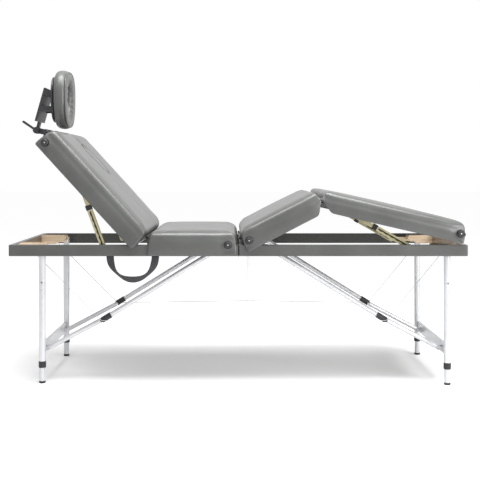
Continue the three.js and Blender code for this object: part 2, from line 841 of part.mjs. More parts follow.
function pad({ x0, x1, skirt, round0, round1, cut0, cut1 }) {
  const length = x1 - x0;
  const stations = [];
  const near = Math.max(round0, cut0);
  const far = Math.max(round1, cut1);
  const roundShareAt = (i) => 1 - Math.cos((i / roundSteps) * Math.PI / 2);
  for (let i = 0; i <= roundSteps; i += 1) stations.push(near * roundShareAt(i));
  for (const share of middleShares) stations.push(near + (length - near - far) * share);
  for (let i = roundSteps; i >= 0; i -= 1) stations.push(length - far * roundShareAt(i));
  return loft(stations.map((d) => {
    const fall = endFall(d, round0) + endFall(length - d, round1);
    const draw = endDraw * (Math.max(1 - d / near, 0) + Math.max(1 - (length - d) / far, 0));
    const cut = Math.max(cut0 ? 1 - d / cut0 : 0, cut1 ? 1 - (length - d) / cut1 : 0, 0);
    const bottom = -skirt + cut * (skirt + padFloor - lipAtCut);
    const crown = padCrown * Math.sin(Math.PI * Math.min(Math.max(d / length, 0), 1));
    return padSection(x0 + d, padRise - fall, panelHalfWidth - draw / 2, bottom, crown);
  }));
}

const backrestPad = solid(pad({
  x0: backrestEnd, x1: -endGap, skirt: backrestSkirt, round0: outerRound, round1: endRound, cut0: 0, cut1: 0,
})).subtract(solid(ellipse(faceHoleLength / 2, faceHoleWidth / 2, holeLow, padRise + overrun, faceHoleX)));
add('backrest_pad', placed(toGeometry(backrestPad), backrestHinge, backrestTurn), vinyl);
add('seat_pad', moved(pad({
  x0: seatStart, x1: seatEnd, skirt: seatSkirt, round0: endRound, round1: endRound, cut0: 0, cut1: 0,
}), 0, 0, hingeHeight), vinyl);
add('knee_pad', placed(pad({
  x0: endGap,
  x1: kneeLength - peakGap,
  skirt: kneeSkirt,
  round0: endRound,
  round1: peakRound,
  cut0: 0,
  cut1: kneeCutBack,
}), kneeHinge, kneeAngle), vinyl);
add('foot_pad', placed(pad({
  x0: peakGap,
  x1: footLength,
  skirt: footSkirt,
  round0: peakRound,
  round1: outerRound,
  cut0: kneeCutBack + peakRound,
  cut1: 0,
}), footHinge, footAngle), vinyl);

// Face-hole plug: an oval cushion that lifts out of the backrest
const plugProfileShares = [
  [0, 0],
  [1, 0],
  [1, 0.72],
  [0.96, 0.88],
  [0.86, 0.97],
  [0.6, 1],
  [0, 1],
];

function plug() {
  const points = plugProfileShares.map(([r, h]) => new THREE.Vector2(r, h));
  const cushion = new THREE.LatheGeometry(points, ovalSides);
  cushion.applyMatrix4(new THREE.Matrix4().makeRotationX(Math.PI / 2));
  cushion.scale(faceHoleLength / 2 - plugGap, faceHoleWidth / 2 - plugGap, plugThickness + plugCrown);
  return cushion.translate(faceHoleX, 0, padRise - plugThickness);
}

add('face_hole_plug', placed(plug(), backrestHinge, backrestTurn), vinyl);

// Rubber feet: domes on a flange at the corners of the panels
const rubberSides = 14;
const domeShoulderShare = 0.87;
const domeRiseShare = 0.75;
const domeTopShare = 0.6;

function rubberFoot(along, rise, side, hinge, angle) {
  const r = rubberDiameter / 2;
  const dome = r - rubberFlange / 2;
  const profile = [
    [0, 0],
    [r, 0],
    [r, rubberFlange],
    [dome, rubberFlange],
    [dome * domeShoulderShare, rubberFlange + (rubberHeight - rubberFlange) * domeRiseShare],
    [dome * domeTopShare, rubberHeight],
    [rubberDimple / 2, rubberHeight],
    [0, rubberHeight - rubberDimpleDepth],
  ].map(([a, h]) => new THREE.Vector2(a, h));
  const foot = new THREE.LatheGeometry(profile, rubberSides);
  if (side < 0) foot.applyMatrix4(new THREE.Matrix4().makeRotationX(Math.PI));
  foot.translate(along, side * (panelHalfWidth + fit), rise);
  return placed(foot, hinge, angle);
}

const rubberInset = { backrest: 31, seat: 46, knee: 36, foot: 27 };
const rubberDrop = { backrest: 28, seat: 16, knee: 16, foot: 10 };
const rubberPlaces = [
  ['backrest', -backrestLength + rubberInset.backrest, backrestHinge, backrestTurn],
  ['seat', kneeHinge.x - rubberInset.seat, { x: 0, z: hingeHeight }, 0],
  ['knee', rubberInset.knee, kneeHinge, kneeAngle],
  ['foot', footLength - rubberInset.foot, footHinge, footAngle],
];
for (const [panel, along, hinge, angle] of rubberPlaces) {
  for (const [word, side] of sides) {
    const foot = rubberFoot(along, -rubberDrop[panel], side, hinge, angle);
    add(`${panel}_rubber_foot_${word}`, foot, rubber);
  }
}

// Ratchet stays: a toothed bar in an outer channel with an end cap, one on each side of the backrest and
// of the foot panel
const stayInnerWidth = stayWidth - 2 * stayWall - 2 * fit;
const toothStart = stayOuterLength + stayCapLength + toothPitch / 2;
const stayPinRadius = 4;

// Lays a shape drawn as depth and width out along a stay, from one distance to another
function alongStay(shape, from, to) {
  const geometry = new THREE.ExtrudeGeometry(shape, { depth: to - from, bevelEnabled: false });
  geometry.translate(0, 0, from);
  const swap = new THREE.Matrix4().makeBasis(point(0, 1, 0), point(0, 0, 1), point(1, 0, 0));
  return geometry.applyMatrix4(swap);
}

function rectangle(depth, width) {
  return polygon([[-depth, -width], [depth, -width], [depth, width], [-depth, width]]);
}

function setStay(geometry, foot, top, y) {
  const turned = geometry.clone();
  turned.applyMatrix4(new THREE.Matrix4().makeRotationY(-Math.atan2(top.z - foot.z, top.x - foot.x)));
  return turned.translate(foot.x, y, foot.z);
}

function stayOuter(side, pinReach) {
  const depth = stayDepth / 2;
  const width = stayWidth / 2;
  const back = depth - stayWall;
  const inside = width - stayWall;
  const lip = inside - stayLip;
  const channel = polygon([
    [depth, -width], [depth, width], [-depth, width], [-depth, lip],
    [-depth + stayWall, lip], [-depth + stayWall, inside], [back, inside],
    [back, -inside], [-depth + stayWall, -inside], [-depth + stayWall, -lip],
    [-depth, -lip], [-depth, -width],
  ]);
  const eye = rod(point(0, -depth, 0), point(0, depth, 0), width, bossSides);
  const capShape = rectangle(depth + stayCapWall, width + stayCapWall);
  capShape.holes.push(rectangle(stayInnerDepth / 2 + fit, stayInnerWidth / 2 + fit));
  const cap = alongStay(capShape, stayOuterLength - stayCapLength / 4, stayOuterLength + stayCapLength);
  let body = solid(alongStay(channel, 0, stayOuterLength)).add(solid(eye)).add(solid(cap));
  if (pinReach) body = body.add(solid(rod(point(0, 0, 0), point(0, pinReach, 0), stayPinRadius, pinSides)));
  const geometry = toGeometry(body);
  return side > 0 ? geometry : geometry.rotateX(Math.PI);
}

function stayInner(length) {
  const half = stayInnerWidth / 2;
  const toothCount = Math.floor((length - toothStart) / toothPitch);
  const outline = [[stayInnerBack, half], [stayInnerBack, -half]];
  for (let tooth = 0; tooth < toothCount; tooth += 1) {
    const s = toothStart + tooth * toothPitch;
    outline.push([s, -half], [s, -half + toothDepth], [s + toothPitch * toothSlopeShare, -half]);
  }
  const shape = new THREE.Shape();
  shape.setFromPoints(outline.map(([a, b]) => new THREE.Vector2(a, b)));
  shape.lineTo(length, -half);
  shape.absarc(length, 0, half, -Math.PI / 2, Math.PI / 2, false);
  shape.closePath();
  return plateXZ(shape, -stayInnerDepth / 2, stayInnerDepth / 2, lugArcSteps);
}

const headStayTop = onPanel(backrestHinge, backrestTurn, -headStayReach, stayPivotRise);
const footStayTop = onPanel(footHinge, footAngle, footStayReach, stayPivotRise);
const railFace = frameHalfWidth - railThickness;
for (const [end, foot, top, stayY, pin] of [
  ['backrest', headStayFoot, headStayTop, headStayY, railFace - fit - headStayY],
  ['foot', footStayFoot, footStayTop, footStayY, 0],
]) {
  const length = Math.hypot(top.x - foot.x, top.z - foot.z);
  for (const [word, side] of sides) {
    add(`${end}_stay_outer_${word}`, setStay(stayOuter(side, pin), foot, top, side * stayY), zincYellow);
    add(`${end}_stay_bar_${word}`, setStay(stayInner(length), foot, top, side * stayY), zincYellow);
  }
}

// Head rest bridge: two posts in the socket, a crossbar and two cheeks round the tilt hub
const bridgeX = backrestEnd - postReach;
const cheekThickness = 5;

function headRestBridge() {
  let body = null;
  for (const side of [-1, 1]) {
    const y = side * postHalfSpacing;
    const post = solid(rod(
      point(backrestEnd + boardInset + postInset, y, postRise), point(bridgeX, y, postRise), postDiameter / 2,
      boreSides,
    ));
    body = body ? body.add(post) : post;
  }
  const half = postHalfSpacing + postDiameter;
  body = body.add(solid(box(
    bridgeX - bridgeWidth / 2, bridgeX + bridgeWidth / 2, -half, half,
    postRise - bridgeThickness / 2, postRise + bridgeThickness / 2,
  )));
  const cheek = barShape({ x: bridgeX, z: postRise }, { x: -tiltHub.along, z: -tiltHub.drop }, bridgeWidth);
  for (const side of [-1, 1]) {
    const a = side * (hubHalfWidth + fit);
    const b = side * (hubHalfWidth + fit + cheekThickness);
    body = body.add(solid(plateXZ(cheek, Math.min(a, b), Math.max(a, b), lugArcSteps)));
  }
  const clear = rod(
    point(-tiltHub.along, -hubHalfWidth - fit, -tiltHub.drop),
    point(-tiltHub.along, hubHalfWidth + fit, -tiltHub.drop),
    hubDiameter / 2 + fit, hubSides,
  );
  return toGeometry(body.subtract(solid(clear)));
}

add('head_rest_bridge', placed(headRestBridge(), backrestHinge, backrestTurn), blackPlastic);

// Outlines of the head rest's ring, narrower towards the chin
const cradleBevelSteps = 3;
const superPower = 2.6;
const ovalPower = 2;
const cradleChinShare = 0.12;
const holeChinShare = 0.25;

function superEllipse(halfWidth, halfHeight, steps, power, chin) {
  const points = [];
  for (let i = 0; i < steps; i += 1) {
    const turn = (i / steps) * 2 * Math.PI;
    const c = Math.cos(turn);
    const s = Math.sin(turn);
    const a = Math.sign(c) * Math.abs(c) ** (2 / power) * halfWidth;
    const b = Math.sign(s) * Math.abs(s) ** (2 / power) * halfHeight;
    points.push([a * (1 - chin * (halfHeight - b) / (2 * halfHeight)), b]);
  }
  return points;
}

// Head rest back plate: leans up from the tilt hub and carries the cushion on two arms
const hub = onPanel(backrestHinge, backrestTurn, -tiltHub.along, -tiltHub.drop);
const cradleX = hub.x + cradleForward;
const cradleZ = hub.z + cradleRise;
const backPlateTop = hub.z + backPlateRise;
const cradleBack = cradleX - cradleThickness / 2 - fit;
const backPlateLean = 38;
const armHeight = 22;
const armWidth = 20;
const neckShare = 1 / 3;
const lowArmShare = 1 / 3;
const cradleBoardThickness = 8;
const cradleBoardInset = 28;
const cradleBoardHoleInset = 4;

function headRestPlate() {
  const topX = cradleBack - backPlateLean;
  const stem = barShape(hub, { x: topX, z: backPlateTop - backPlateThickness / 2 }, backPlateThickness);
  let body = solid(plateXZ(stem, -backPlateHalfWidth, backPlateHalfWidth, barArcSteps));
  const gap = rod(
    point(hub.x, -backPlateHalfWidth - overrun, hub.z), point(hub.x, backPlateHalfWidth + overrun, hub.z),
    hubDiameter / 2 + bridgeWidth, hubSides,
  );
  body = body.subtract(solid(gap));
  const neckTop = { x: hub.x + (topX - hub.x) * neckShare, z: hub.z + (backPlateTop - hub.z) * neckShare };
  const neck = barShape(hub, neckTop, backPlateThickness);
  body = body.add(solid(plateXZ(neck, -hubHalfWidth, hubHalfWidth, barArcSteps)));
  const barrel = rod(
    point(hub.x, -hubHalfWidth, hub.z), point(hub.x, hubHalfWidth, hub.z), hubDiameter / 2, hubSides,
  );
  body = body.add(solid(barrel));
  for (const z of [backPlateTop - armHeight, cradleZ - cradleHalfHeight * lowArmShare]) {
    const share = (z - hub.z) / (backPlateTop - hub.z);
    const plateX = hub.x + (topX - hub.x) * share;
    for (const side of [-1, 1]) {
      const a = side * backPlateHalfWidth;
      const b = side * (backPlateHalfWidth - armWidth);
      const low = z - armHeight / 2;
      body = body.add(solid(box(plateX, cradleBack, Math.min(a, b), Math.max(a, b), low, low + armHeight)));
    }
  }
  const rim = polygon(superEllipse(
    cradleHalfWidth - cradleBoardInset, cradleHalfHeight - cradleBoardInset, ringSides, superPower,
    cradleChinShare,
  ));
  rim.holes.push(polygon(superEllipse(
    cradleHoleHalfWidth + cradleBoardHoleInset, cradleHoleHalfHeight + cradleBoardHoleInset, ringHoleSides,
    ovalPower, holeChinShare,
  )));
  const support = new THREE.ExtrudeGeometry(rim, { depth: cradleBoardThickness, bevelEnabled: false });
  support.applyMatrix4(new THREE.Matrix4().makeBasis(point(0, 1, 0), point(0, 0, 1), point(1, 0, 0)));
  return body.add(solid(support.translate(cradleBack - cradleBoardThickness, 0, cradleZ)));
}

add('head_rest_plate', headRestPlate(), blackPlastic);

// Head rest cushion: a ring for the face, rounded all round
function headRestCushion() {
  const shape = polygon(superEllipse(
    cradleHalfWidth - cradleRound, cradleHalfHeight - cradleRound, ringSides, superPower, cradleChinShare,
  ));
  shape.holes.push(polygon(superEllipse(
    cradleHoleHalfWidth + cradleRound, cradleHoleHalfHeight + cradleRound, ringHoleSides, ovalPower,
    holeChinShare,
  )));
  const cushion = new THREE.ExtrudeGeometry(shape, {
    depth: cradleThickness - 2 * cradleRound,
    bevelThickness: cradleRound,
    bevelSize: cradleRound,
    bevelSegments: cradleBevelSteps,
  }).translate(0, 0, cradleRound - cradleThickness / 2);
  cushion.applyMatrix4(new THREE.Matrix4().makeBasis(point(0, 1, 0), point(0, 0, 1), point(1, 0, 0)));
  return toGeometry(solid(cushion)).translate(cradleX, 0, cradleZ);
}

add('head_rest_cushion', headRestCushion(), vinyl);

// Cam lever beside the tilt hub
const leverAngle = THREE.MathUtils.degToRad(146);
const leverTipShare = 0.7;

function camLever() {
  const tip = {
    x: hub.x + leverLength * Math.cos(leverAngle),
    z: hub.z + leverLength * Math.sin(leverAngle),
  };
  const arm = barShape(hub, tip, leverWidth * leverTipShare);
  const a = -(hubHalfWidth + 2 * fit + cheekThickness);
  const b = a - leverThickness;
  const boss = rod(point(hub.x, b, hub.z), point(hub.x, a, hub.z), leverWidth, bossSides);
  return solid(plateXZ(arm, b, a, barArcSteps)).add(solid(boss));
}

add('head_rest_lever', camLever(), blackPlastic);

// Carry handle: webbing that hangs from the near rail and turns over on its way down
const strapSteps = 26;

function carryHandle() {
  const middleX = (strapLeftX + strapRightX) / 2;
  const halfSpan = (strapRightX - strapLeftX) / 2;
  const y = -(frameHalfWidth - railThickness / 2);
  const top = frameBottom - fit;
  const stations = [];
  for (let i = 0; i <= strapSteps; i += 1) {
    const turn = Math.PI * (i / strapSteps);
    const centre = point(middleX - halfSpan * Math.cos(turn), y, top - strapDrop * Math.sin(turn));
    const tangent = point(halfSpan * Math.sin(turn), 0, -strapDrop * Math.cos(turn)).normalize();
    const flat = new THREE.Vector3().crossVectors(tangent, point(0, 1, 0)).normalize();
    const twist = strapTwistShare * Math.PI * Math.sin(turn);
    const across = flat.clone().applyAxisAngle(tangent, twist).multiplyScalar(strapWidth / 2);
    const thick = new THREE.Vector3().crossVectors(across, tangent);
    thick.normalize().multiplyScalar(strapThickness / 2);
    const corners = [[1, 1], [-1, 1], [-1, -1], [1, -1]].map(([a, b]) => (
      centre.clone().addScaledVector(across, a).addScaledVector(thick, b)));
    if (i === 0 || i === strapSteps) corners.forEach((corner) => { corner.z = Math.min(corner.z, top); });
    stations.push(corners);
  }
  const positions = stations.flat().flatMap((p) => [p.x, p.y, p.z]);
  const index = [];
  for (let s = 1; s < stations.length; s += 1) {
    for (let i = 0; i < 4; i += 1) {
      const j = (i + 1) % 4;
      const a = (s - 1) * 4 + i;
      const b = (s - 1) * 4 + j;
      const c = s * 4 + i;
      const d = s * 4 + j;
      index.push(a, d, b, a, c, d);
    }
  }
  const last = strapSteps * 4;
  index.push(0, 1, 2, 0, 2, 3, last, last + 2, last + 1, last, last + 3, last + 2);
  const geometry = new THREE.BufferGeometry();
  geometry.setAttribute('position', new THREE.BufferAttribute(new Float32Array(positions), 3));
  geometry.setIndex(index);
  return geometry;
}

add('carry_handle', carryHandle(), webbing);
export default table;
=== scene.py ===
import json
import math

import bmesh
import bpy
from mathutils import Matrix, Vector, noise


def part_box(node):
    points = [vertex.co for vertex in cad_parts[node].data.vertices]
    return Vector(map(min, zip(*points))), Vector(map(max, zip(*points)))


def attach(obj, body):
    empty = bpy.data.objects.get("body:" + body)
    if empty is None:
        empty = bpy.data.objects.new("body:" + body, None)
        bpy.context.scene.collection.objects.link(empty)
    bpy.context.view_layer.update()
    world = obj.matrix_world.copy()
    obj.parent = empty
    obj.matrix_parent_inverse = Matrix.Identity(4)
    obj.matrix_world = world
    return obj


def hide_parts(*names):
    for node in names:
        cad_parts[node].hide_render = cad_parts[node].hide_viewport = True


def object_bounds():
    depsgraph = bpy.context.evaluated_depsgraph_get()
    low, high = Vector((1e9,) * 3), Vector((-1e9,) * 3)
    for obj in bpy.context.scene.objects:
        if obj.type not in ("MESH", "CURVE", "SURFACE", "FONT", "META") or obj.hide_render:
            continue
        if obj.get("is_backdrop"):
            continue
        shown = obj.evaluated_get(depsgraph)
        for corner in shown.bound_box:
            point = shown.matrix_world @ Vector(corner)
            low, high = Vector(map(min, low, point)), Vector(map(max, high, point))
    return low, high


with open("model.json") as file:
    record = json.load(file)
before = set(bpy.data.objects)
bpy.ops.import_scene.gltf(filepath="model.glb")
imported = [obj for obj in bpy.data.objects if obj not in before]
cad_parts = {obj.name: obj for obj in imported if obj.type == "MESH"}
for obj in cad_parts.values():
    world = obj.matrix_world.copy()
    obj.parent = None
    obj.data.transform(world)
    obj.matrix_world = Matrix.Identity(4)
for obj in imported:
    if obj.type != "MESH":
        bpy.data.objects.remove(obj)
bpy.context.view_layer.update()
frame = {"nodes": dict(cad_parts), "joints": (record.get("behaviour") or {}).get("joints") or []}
nodes = frame["nodes"]
joints = {joint["name"]: joint for joint in frame["joints"]}
scene = bpy.context.scene

# Camera: a long lens about four metres off, level with a person's chest, so that the uprights stay upright.
# The frame is shifted down to the table and a little to the right, as the photograph is.
camera_data = bpy.data.cameras.new("camera")
camera_data.sensor_width = 36
camera_data.lens = 65.5
camera_data.shift_x = 0.0146
camera_data.shift_y = -0.148
camera = bpy.data.objects.new("camera", camera_data)
camera.location = (-0.0215, -3.855, 0.880)
camera.rotation_euler = (math.radians(90), 0, 0)
scene.collection.objects.link(camera)
scene.camera = camera
scene.view_settings.view_transform = "Standard"

# Studio: a white room with a pale floor, a soft sun and a softbox overhead, and a lamp from the right.
# The white is the colour of the room itself where the camera, a reflection or a refraction meets it.


def new_node(tree, kind, inputs=(), **settings):
    made = tree.nodes.new(kind)
    for name, value in settings.items():
        setattr(made, name, value)
    for socket, value in inputs:
        if isinstance(value, bpy.types.NodeSocket):
            tree.links.new(value, made.inputs[socket])
        else:
            made.inputs[socket].default_value = value
    return made


def sees_white(tree):
    """1 where a ray comes from the camera, a reflection or a refraction."""
    path = new_node(tree, "ShaderNodeLightPath")
    both = new_node(tree, "ShaderNodeMath", [
        (0, path.outputs["Is Camera Ray"]), (1, path.outputs["Is Transmission Ray"]),
    ], operation="MAXIMUM")
    every = new_node(tree, "ShaderNodeMath", [
        (0, both.outputs[0]), (1, path.outputs["Is Glossy Ray"]),
    ], operation="MAXIMUM")
    return every.outputs[0]


white = (1, 1, 1, 1)
room_fill = 0.24
world = bpy.data.worlds.new("room")
world.use_nodes = True
scene.world = world
room_tree = world.node_tree
room_tree.nodes.clear()
lit = new_node(room_tree, "ShaderNodeBackground", [("Color", white), ("Strength", room_fill)])
seen = new_node(room_tree, "ShaderNodeBackground", [("Color", white), ("Strength", 1.0)])
room = new_node(room_tree, "ShaderNodeMixShader", [
    (0, sees_white(room_tree)), (1, lit.outputs[0]), (2, seen.outputs[0]),
])
new_node(room_tree, "ShaderNodeOutputWorld", [("Surface", room.outputs[0])])


def lamp(name, kind, energy, place, aim, **settings):
    data = bpy.data.lights.new(name, kind)
    data.energy = energy
    for key, value in settings.items():
        setattr(data, key, value)
    made = bpy.data.objects.new(name, data)
    made.location = place
    made.rotation_euler = (Vector(aim) - Vector(place)).to_track_quat("-Z", "Y").to_euler()
    scene.collection.objects.link(made)


lamp("overhead", "SUN", 1.75, (0.3, -0.4, 3), (0, 0, 0.5), angle=math.radians(35))
lamp("softbox", "AREA", 60, (0.1, -0.5, 2.35), (0.05, 0, 0.6), shape="RECTANGLE", size=2.6, size_y=1.0)
lamp("right_side", "AREA", 52, (2.5, -2.0, 1.3), (0.5, 0, 0.6), shape="RECTANGLE", size=1.4, size_y=1.2)

floor_half = 30.0
floor_colour = (0.93, 0.93, 0.93, 1)
floor_glow = 0.25
floor_mesh = bpy.data.meshes.new("floor")
floor_bm = bmesh.new()
bmesh.ops.create_grid(floor_bm, x_segments=2, y_segments=2, size=floor_half)
floor_bm.to_mesh(floor_mesh)
floor_bm.free()
floor = bpy.data.objects.new("floor", floor_mesh)
scene.collection.objects.link(floor)
floor_finish = bpy.data.materials.new("floor_paper")
floor_finish.use_nodes = True
floor_tree = floor_finish.node_tree
floor_tree.nodes.clear()
paper = new_node(floor_tree, "ShaderNodeBsdfDiffuse", [("Color", floor_colour)])
glow = new_node(floor_tree, "ShaderNodeEmission", [("Color", white), ("Strength", floor_glow)])
nothing = new_node(floor_tree, "ShaderNodeEmission", [("Color", white), ("Strength", 0.0)])
shown_glow = new_node(floor_tree, "ShaderNodeMixShader", [
    (0, sees_white(floor_tree)), (1, nothing.outputs[0]), (2, glow.outputs[0]),
])
floor_sum = new_node(floor_tree, "ShaderNodeAddShader", [(0, paper.outputs[0]), (1, shown_glow.outputs[0])])
new_node(floor_tree, "ShaderNodeOutputMaterial", [("Surface", floor_sum.outputs[0])])
floor_mesh.materials.append(floor_finish)
floor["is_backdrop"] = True

# Vinyl: grey upholstery cloth, calendered with a fine leather grain, satin, in slightly uneven shades.
# The same cloth covers the pads, the plug and the head rest, and wraps the frame's boards.


def start_material(name):
    made = bpy.data.materials.new(name)
    made.use_nodes = True
    made.node_tree.nodes.clear()
    coords = new_node(made.node_tree, "ShaderNodeTexCoord").outputs["Object"]
    return made, made.node_tree, coords


def finish_material(tree, inputs):
    shader = new_node(tree, "ShaderNodeBsdfPrincipled", inputs)
    new_node(tree, "ShaderNodeOutputMaterial", [("Surface", shader.outputs[0])])


def spread(tree, value, low, high):
    """Stretches a noise value around its middle to a range."""
    made = new_node(tree, "ShaderNodeMapRange", [
        ("Value", value), ("From Min", 0.3), ("From Max", 0.7), ("To Min", low), ("To Max", high),
    ])
    return made.outputs["Result"]


def mix_colour(tree, share, first, second):
    made = new_node(tree, "ShaderNodeMix", [(0, share), (6, first), (7, second)], data_type="RGBA")
    return made.outputs[2]


def vinyl_surface(tree, coords, colour, grain_size=0.0011):
    """Colour, roughness and bump sockets of the grained vinyl."""
    cloudy = new_node(tree, "ShaderNodeTexNoise", [("Vector", coords), ("Scale", 7.0), ("Detail", 3.0)])
    pale = [min(1, c * 1.16) for c in colour]
    deep = [c * 0.88 for c in colour]
    shade = mix_colour(tree, spread(tree, cloudy.outputs[0], 0, 1), (*deep, 1), (*pale, 1))
    cells = new_node(tree, "ShaderNodeTexVoronoi", [("Vector", coords), ("Scale", 1 / grain_size)])
    pores = new_node(tree, "ShaderNodeTexNoise", [
        ("Vector", coords), ("Scale", 0.6 / grain_size), ("Detail", 5.0), ("Roughness", 0.6),
    ])
    grain = new_node(tree, "ShaderNodeMath", [
        (0, cells.outputs["Distance"]), (1, pores.outputs[0]),
    ], operation="ADD")
    slack = new_node(tree, "ShaderNodeTexNoise", [("Vector", coords), ("Scale", 22.0), ("Detail", 2.0)])
    waves = new_node(tree, "ShaderNodeBump", [
        ("Strength", 0.10), ("Distance", 0.004), ("Height", slack.outputs[0]),
    ])
    bump = new_node(tree, "ShaderNodeBump", [
        ("Strength", 0.18), ("Distance", 0.0004), ("Height", grain.outputs[0]), ("Normal", waves.outputs[0]),
    ])
    rough = spread(tree, cloudy.outputs[0], 0.30, 0.38)
    return shade, rough, bump.outputs[0]


def vinyl(name, colour):
    made, tree, coords = start_material(name)
    shade, rough, bump = vinyl_surface(tree, coords, colour)
    finish_material(tree, [
        ("Base Color", shade), ("Roughness", rough), ("Normal", bump), ("Specular IOR Level", 0.55),
    ])
    return made


pad_grey = (0.086, 0.089, 0.085)
pad_vinyl = vinyl("pad_vinyl", pad_grey)

# Panels: four boards under foam, each in one piece of vinyl that is drawn over the edges and past the board.
# The foam crowns a little, the sides pull in, and each panel turns about a hinge line just above its board.
fit = 0.0003
board_base = -0.0172
board_thickness = 0.012
pad_floor = board_base + board_thickness + fit
pad_rise = 0.0355
half_width = 0.340
skirt_thickness = 0.0115
end_thickness = 0.0016
end_gap = 0.006
crown = 0.005
side_round = 0.026
plan_corner = 0.034
low_corner = 1.25
mid_inset = 0.0015
bottom_draw = 0.003
cell = 0.0085
turn_steps = 5
side_steps = 8
peak_lip = pad_floor - 0.0015

backrest_hinge = Vector(joints["backrest_tilt"]["pos_m"])
knee_hinge = Vector(joints["knee_lift"]["pos_m"])
foot_hinge = Vector(joints["foot_panel_hinge"]["pos_m"])
backrest_angle = math.radians(47.5)
knee_angle = math.radians(27)
foot_angle = math.radians(-13)
seat_place = Matrix.Translation((0, 0, knee_hinge.z))


def panel_place(hinge, angle):
    return Matrix.Translation(hinge) @ Matrix.Rotation(-angle, 4, "Y")


backrest_place = panel_place(backrest_hinge, -backrest_angle)
knee_place = panel_place(knee_hinge, knee_angle)
foot_place = panel_place(foot_hinge, foot_angle)


def add_piece(name, bm, finish, smooth=True):
    mesh = bpy.data.meshes.new(name)
    bm.to_mesh(mesh)
    bm.free()
    for face in mesh.polygons:
        face.use_smooth = smooth
    piece = bpy.data.objects.new(name, mesh)
    scene.collection.objects.link(piece)
    mesh.materials.append(finish)
    return piece


def blend_share(value, low, high):
    share = min(max((value - low) / (high - low), 0), 1)
    return share * share * (3 - 2 * share)


def next_rim(bm, rim):
    """Extrudes a rim and gives the edges of the new one."""
    made = bmesh.ops.extrude_edge_only(bm, edges=rim)["geom"]
    return [item for item in made if isinstance(item, bmesh.types.BMEdge) and item.is_boundary]


def verts_of(rim):
    return {vert for edge in rim for vert in edge.verts}


def close_hole(bm, rim):
    """Fills a rim and cuts the face in triangles, since one with hundreds of sides subdivides slowly."""
    made = bmesh.ops.holes_fill(bm, edges=rim, sides=0)
    bmesh.ops.triangulate(bm, faces=made["faces"], ngon_method="BEAUTY")


lip_crest = pad_rise + 0.004
lip_drops = (0.0016, 0.0050, 0.0110, 0.0220)
lip_shares = (0.9965, 0.9985)


def open_oval(bm, centre, half_length, half_across, floor):
    """Opens an oval through the top sheet, snaps its rim to the oval and draws it down to the pad's floor."""
    def reach(co):
        return math.hypot((co.x - centre) / half_length, co.y / half_across)

    inside = [face for face in bm.faces if reach(face.calc_center_median()) < 1]
    outer_rim = [edge for edge in bm.edges if edge.is_boundary]
    bmesh.ops.delete(bm, geom=inside, context="FACES")
    rim = [edge for edge in bm.edges if edge.is_boundary and edge not in outer_rim]
    for vert in verts_of(rim):
        scale = reach(vert.co)
        vert.co = Vector((centre + (vert.co.x - centre) / scale, vert.co.y / scale, vert.co.z))
    for step, drop in enumerate(lip_drops):
        rim = next_rim(bm, rim)
        for vert in verts_of(rim):
            scale = reach(vert.co) / lip_shares[step] if step < len(lip_shares) else 1
            x = centre + (vert.co.x - centre) / scale
            vert.co = Vector((x, vert.co.y / scale, lip_crest - drop))
    rim = next_rim(bm, rim)
    for vert in verts_of(rim):
        vert.co.z = floor
    return rim


